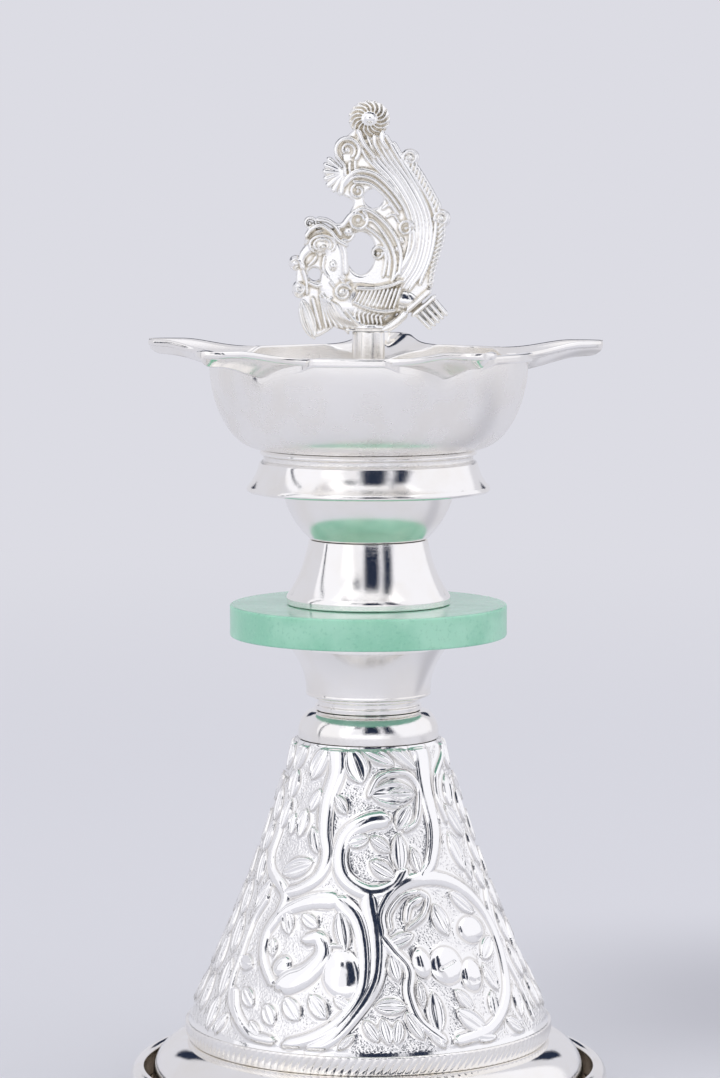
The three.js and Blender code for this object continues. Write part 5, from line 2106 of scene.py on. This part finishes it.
    def _body(self, relief: Relief) -> None:
        """The round body, its feathered breast and the rosette on the shoulder.

        Args:
            relief: Relief that is drawn on.
        """
        relief.lump(self.body_centre, self.body_half, 4.0)
        relief.stroke([(-5.4, 0.4), (0, -0.4), (5.2, 1.2), (9.4, 4.6)], (1.2, 1.2), 2.0, base=1.2)
        for k in range(self.breast_feathers):
            start = (-12.0 + 0.5 * k, 9.2 - 0.3 * k)
            pull = (-11.2 + 0.8 * k, 4.6 - 0.2 * k)
            end = (-10.4 + 1.35 * k, 0.9 + 0.03 * k)
            low = self._swell(*pull) - 0.45
            relief.stroke([start, pull, end], (0.42, 0.5), 0.95, base=low)
        relief.lump((-6.3, 9.7), (2.7, 2.6), 4.3)
        relief.volute((-6.3, 9.7), 2.1, 20, 1.05, 0.45, 0.8, 3.8, 0.9)

    def _swell(self, x: float, h: float) -> float:
        """Half thickness of the plain body at a place, from which its feathers rise.

        With q the distance in half sizes, it is 4.2 times the root of 1 - q^2, held up beside its edge.

        Args:
            x: Place across.
            h: Place up.

        Returns:
            The half thickness in millimetres.
        """
        across = (x - self.body_centre[0]) / self.body_half[0]
        up = (h - self.body_centre[1]) / self.body_half[1]
        q = math.hypot(across, up)
        return 4.2 * math.sqrt(max(0.12, 1 - q * q))

    def _wing(self, relief: Relief) -> None:
        """The folded wing: an upper edge, then tiers of slanted feathers between raised bands.

        Args:
            relief: Relief that is drawn on.
        """
        relief.ridges(
            (0.6, 0.5, 1.3, 3.1, (-3.0, 10.7), (1.4, 10.6), (5.4, 11.4), (8.2, 12.5)),
            (0.55, 0.5, 1.2, 3.6, (-3.8, 7.4), (-0.4, 5.9), (3.2, 5.1), (6.6, 5.3)),
            (0.55, 0.5, 1.1, 3.3, (-5.4, 5.2), (-3.2, 2.6), (-0.6, 1.0)),
        )
        for k in range(self.wing_feathers):
            x = -3.0 + 1.0 * k
            path = [(x + 0.9, 9.9 + 0.1 * k), (x, 8.2), (x - 0.9, 6.8 - 0.12 * k)]
            relief.stroke(path, (0.42, 0.36), 1.3, base=3.2 - 0.1 * k)
        for k in range(self.low_feathers):
            x = -3.4 + 1.05 * k
            path = [(x + 0.7, 5.6 - 0.25 * k), (x, 4.2 - 0.1 * k), (x + 0.3, 2.2 - 0.05 * k)]
            relief.stroke(path, (0.42, 0.36), 1.2, base=3.1)

    def _short_tail(self, relief: Relief) -> None:
        """Two cross bands and a fan of square-ended feathers under the plumes.

        Args:
            relief: Relief that is drawn on.
        """
        relief.lump((9.0, 7.6), (4.4, 2.9), 2.2, -14)
        relief.ridges(
            (0.75, 0.75, 1.2, 1.8, (9.6, 5.2), (12.4, 7.6), (15.4, 10.2)),
            (0.7, 0.7, 1.2, 1.7, (10.9, 3.9), (13.8, 6.3), (16.5, 8.7)),
        )
        for k in range(self.fan_feathers):
            share = k / (self.fan_feathers - 1)
            root = (11.6 + 4.5 * share, 4.6 + 3.4 * share)
            tip = (15.2 + 4.0 * share, 0.9 + 3.4 * share)
            relief.stroke([root, tip], (0.62, 0.68), 1.1, base=1.2, ends=0.85)

    def peacock(self) -> bpy.types.Object:
        """The casting: front and back skins over the drawn outline, joined by a narrow wall.

        Places inside the outline are kept, those beside its edge are moved out onto it along the slope of the
        distance field, and the half thickness at each place is the drawn height.

        Returns:
            The piece, in its place.
        """
        post = Seat.of("finial_post")
        grid_x, grid_h = np.meshgrid(np.arange(*self.drawn_x, self.step), np.arange(*self.drawn_h, self.step))
        relief = Relief(grid_x, grid_h, fullness=self.fullness)
        self.draw(relief)
        inside = relief.inside > 0
        cells = inside[:-1, :-1] & inside[1:, :-1] & inside[:-1, 1:] & inside[1:, 1:]
        used = np.zeros_like(inside)
        for di, dj in ((0, 0), (0, 1), (1, 0), (1, 1)):
            used[di : di + cells.shape[0], dj : dj + cells.shape[1]] |= cells
        interior = np.zeros_like(inside)
        interior[1:-1, 1:-1] = cells[:-1, :-1] & cells[1:, :-1] & cells[:-1, 1:] & cells[1:, 1:]
        slope_h, slope_x = np.gradient(relief.inside, self.step)
        steep = np.maximum(np.hypot(slope_x, slope_h), self.least_slope)
        push = np.where(interior, 0, np.clip(relief.inside, 0, self.step * 1.5)) / steep**2
        grid_x = grid_x - push * slope_x
        grid_h = grid_h - push * slope_h
        half = np.where(interior, np.maximum(relief.height, self.rim_half), self.rim_half)
        count = int(used.sum())
        index = np.full(inside.shape, -1)
        index[used] = np.arange(count)
        front = np.column_stack((grid_x[used], -half[used], grid_h[used] + post.top))
        back = front * [1, -1, 1]
        a, b = index[:-1, :-1][cells], index[:-1, 1:][cells]
        c, d = index[1:, 1:][cells], index[1:, :-1][cells]
        skin = np.column_stack((a, b, c, d))
        edges = np.concatenate((skin[:, [0, 1]], skin[:, [1, 2]], skin[:, [2, 3]], skin[:, [3, 0]]))
        key = np.sort(edges, axis=1)
        _, first, times = np.unique(key[:, 0] * count + key[:, 1], return_index=True, return_counts=True)
        rim = edges[first[times == 1]]
        wall = np.column_stack((rim[:, 1], rim[:, 0], rim[:, 0] + count, rim[:, 1] + count))
        faces = np.concatenate((skin, skin[:, ::-1] + count, wall))
        piece = make_piece("peacock_casting", np.concatenate((front, back)), faces)
        # Painted shade in the casting's hollows, where a place lies below its neighbours.
        low = self._hollow_shade(relief.height)
        paint(piece, "recess_shade", np.concatenate((low[used], low[used])))
        return piece

    def foot(self) -> bpy.types.Object:
        """The casting's foot: a thin disc with a half-round edge, which stands on the post.

        Returns:
            The piece, in its place.
        """
        post = Seat.of("finial_post")
        foot = post.top + 0.1
        rows = rounded(
            (0.02, foot, 0),
            (self.foot_radius - 0.5, foot, 0.3),
            arc((self.foot_radius - 0.9, foot + 0.9), (0.9, 0.9), -70, 80, 10),
            (0.02, foot + self.foot_height, 0),
        )
        piece = turned_piece("peacock_foot", rows, 72)
        # The foot gets no painted shade.
        paint(piece, "recess_shade", np.zeros(len(piece.data.vertices)))
        return piece

    def _hollow_shade(self, height: Array) -> Array:
        """How far each place lies below the mean of its neighbourhood, as 0 to 1, for the painted shade in
        the hollows.

        Args:
            height: Height of the field at each place.

        Returns:
            The share for each place.
        """
        mean = height.copy()
        reach = self.hollow_reach
        for axis in (0, 1):
            mean = sum(np.roll(mean, k, axis) for k in range(-reach, reach + 1)) / (2 * reach + 1)
        return smooth(mean - height, 0.02, 0.5)

    def build(self, finishes: Finishes) -> None:
        """Makes and dresses post and peacock.

        Args:
            finishes: The object's finishes.
        """
        dress(self.post(), finishes.silver, "post", "silver_plate", "finial_post")
        dress(self.peacock(), finishes.cast, "finial", "cast_silver", "peacock")
        dress(self.foot(), finishes.cast, "finial", "cast_silver")


@dataclass
class Studio:
    """Pale table and background, soft boxes, dark panels that only reflections show, and the camera."""

    pale: Colour = (0.716, 0.716, 0.775, 1)
    floor_colour: Colour = (0.608, 0.608, 0.662, 1)
    # Floor colour of the painted shadow right of the lamp.
    shade_colour: Colour = (0.445, 0.445, 0.495, 1)
    fill: float = 0.98
    camera_x: float = -2.1
    camera_y: float = -958.0
    camera_z: float = 236.0
    tilt: float = 5.6
    focal_pixels: float = 3858.0
    picture_height: float = 1078.0
    sensor: float = 36.0
    floor_half: float = 6000.0
    fade_start: float = 0.45
    fade_end: float = 1.4
    flag_distance: float = 1150.0
    aim_height: float = 0.12
    navy: Colour = (0.02, 0.028, 0.055, 1)

    def camera(self) -> None:
        """The camera at the photograph's angle, fitted to the lamp's outline."""
        data = bpy.data.cameras.new("camera")
        data.sensor_width = self.sensor
        data.lens = self.sensor * self.focal_pixels / self.picture_height
        data.clip_start, data.clip_end = 0.05, 50.0
        made = bpy.data.objects.new("camera", data)
        made.location = Vector((self.camera_x, self.camera_y, self.camera_z)) * MM
        made.rotation_euler = (math.radians(90 - self.tilt), 0, 0)
        bpy.context.scene.collection.objects.link(made)
        bpy.context.scene.camera = made

    def world(self) -> None:
        """Even fill light, shown to the camera and to reflections as the pale background."""
        world = bpy.data.worlds.new("studio")
        g = Graph("studio", world)
        fill = g.node("ShaderNodeBackground", None, {"Color": (0.98, 0.985, 1.0, 1), "Strength": self.fill})
        backdrop = g.node("ShaderNodeBackground", None, {"Color": self.pale, "Strength": 1.0})
        g.finish(g.node("ShaderNodeMixShader", None, {0: g.seen(), 1: fill, 2: backdrop}))
        bpy.context.scene.world = world

    def floor(self) -> None:
        """A wide table top that fades into the background's own colour, a little darker right of the lamp as
        a painted shadow.

        With distances in metres, the fade runs outwards from the lamp. The painted shadow comes up to the
        right of the lamp and behind it, and goes again further back.
        """
        size = self.floor_half
        points = np.array([[-size, -size, 0], [size, -size, 0], [size, size, 0], [-size, size, 0]])
        piece = make_piece("table_top", points, np.array([[0, 1, 2, 3]]))
        g = Graph("pale_table")
        away = g.node("ShaderNodeVectorMath", {"operation": "LENGTH"}, {0: g.coordinates()}, out="Value")
        across = g.node("ShaderNodeSeparateXYZ", None, {0: g.coordinates()})
        back = Signal(g, across.socket.node.outputs["Y"])
        # Painted shadow of the lamp on the table, to its right and behind it.
        shade = across.between(0.0, 0.12) * back.between(0.0, 0.1) * back.between(0.26, 0.12)
        colour = g.mix(shade, self.floor_colour, self.shade_colour)
        factor = away.between(self.fade_start, self.fade_end) * g.seen()
        near = g.node("ShaderNodeBsdfPrincipled", None, {"Base Color": colour, "Roughness": 0.55})
        far = g.node("ShaderNodeEmission", None, {"Color": self.pale, "Strength": 1.0})
        g.finish(g.node("ShaderNodeMixShader", None, {0: factor, 1: near, 2: far}))
        piece.data.materials.append(g.material)

    def soft_box(
        self, name: str, azimuth: float, height: float, distance: float, size: Pair, power: float
    ) -> None:
        """An area light that faces the lamp.

        Args:
            name: Its name.
            azimuth: Degrees round the axis from the camera's side, to the right.
            height: Height of its middle in metres.
            distance: Distance from the axis in metres.
            size: Width and height in metres.
            power: Watts.
        """
        data = bpy.data.lights.new(name, "AREA")
        data.shape = "RECTANGLE"
        data.size, data.size_y = size
        data.energy = power
        made = bpy.data.objects.new(name, data)
        a = math.radians(azimuth)
        place = Vector((distance * math.sin(a), -distance * math.cos(a), height))
        made.location = place
        aim = Vector((0, 0, self.aim_height))
        made.rotation_euler = (aim - place).to_track_quat("-Z", "Y").to_euler()
        bpy.context.scene.collection.objects.link(made)

    def flag(self, name: str, azimuth: float, low: float, high: float, width: float) -> None:
        """A dark upright panel that shows only in reflections.

        Args:
            name: Its name.
            azimuth: Degrees round the axis from the camera's side, to the right.
            low: Height of its lower edge in metres.
            high: Height of its upper edge in metres.
            width: Width in degrees, as seen from the axis.
        """
        edge = np.radians(azimuth + np.array([-width, width, width, -width]) / 2)
        x, y = self.flag_distance * np.sin(edge), -self.flag_distance * np.cos(edge)
        z = np.array([low, low, high, high]) / MM
        piece = make_piece(name, np.column_stack((x, y, z)), np.array([[0, 1, 2, 3]]))
        g = Graph(name)
        glow = g.node("ShaderNodeEmission", None, {"Color": self.navy, "Strength": 1.0})
        piece.data.materials.append(g.finish(glow))
        for ray in ("visible_camera", "visible_diffuse", "visible_shadow", "visible_transmission"):
            setattr(piece, ray, False)

    def build(self) -> None:
        """Sets up camera, background, table, lights and flags."""
        self.camera()
        self.world()
        self.floor()
        for box in (
            ("right_box", 92, 1.05, 1.3, (2.8, 2.3), 5.05),
            ("left_box", -64, 0.95, 1.4, (2.0, 2.0), 3.42),
            ("top_box", 0, 2.0, 0.5, (2.6, 2.4), 5.6),
            ("front_box", -12, 0.7, 1.6, (2.4, 1.1), 1.7),
            ("low_box", 0, 0.24, 1.3, (1.9, 0.42), 0.56),
        ):
            self.soft_box(*box)
        for panel in (
            ("dark_flag_left", -22, 1.04, 1.36, 13),
            ("dark_flag_middle", 6, 0.44, 1.5, 28),
            ("dark_flag_right", 36, 0.44, 1.65, 16),
            ("dark_flag_back", 180, 0.4, 0.62, 60),
            ("stand_line", -88, 0.04, 1.3, 3),
        ):
            self.flag(*panel)


def main() -> None:
    """Builds the lamp from the base upwards, then the studio round it."""
    logging.basicConfig(level=logging.INFO, format="%(name)s %(message)s")
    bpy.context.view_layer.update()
    view = bpy.context.scene.view_settings
    view.view_transform = "Standard"
    finishes = Finishes()
    spouts = WickSpouts()
    Base().build(finishes)
    EmbossedCone().build(finishes)
    Neck().build(finishes)
    StoneDisc().build(finishes)
    UpperStem().build(finishes)
    OilDish().build(finishes, spouts)
    spouts.build(finishes)
    dress_hidden(finishes)
    Finial().build(finishes)
    Studio().build()


if __name__ == "__main__":
    main()
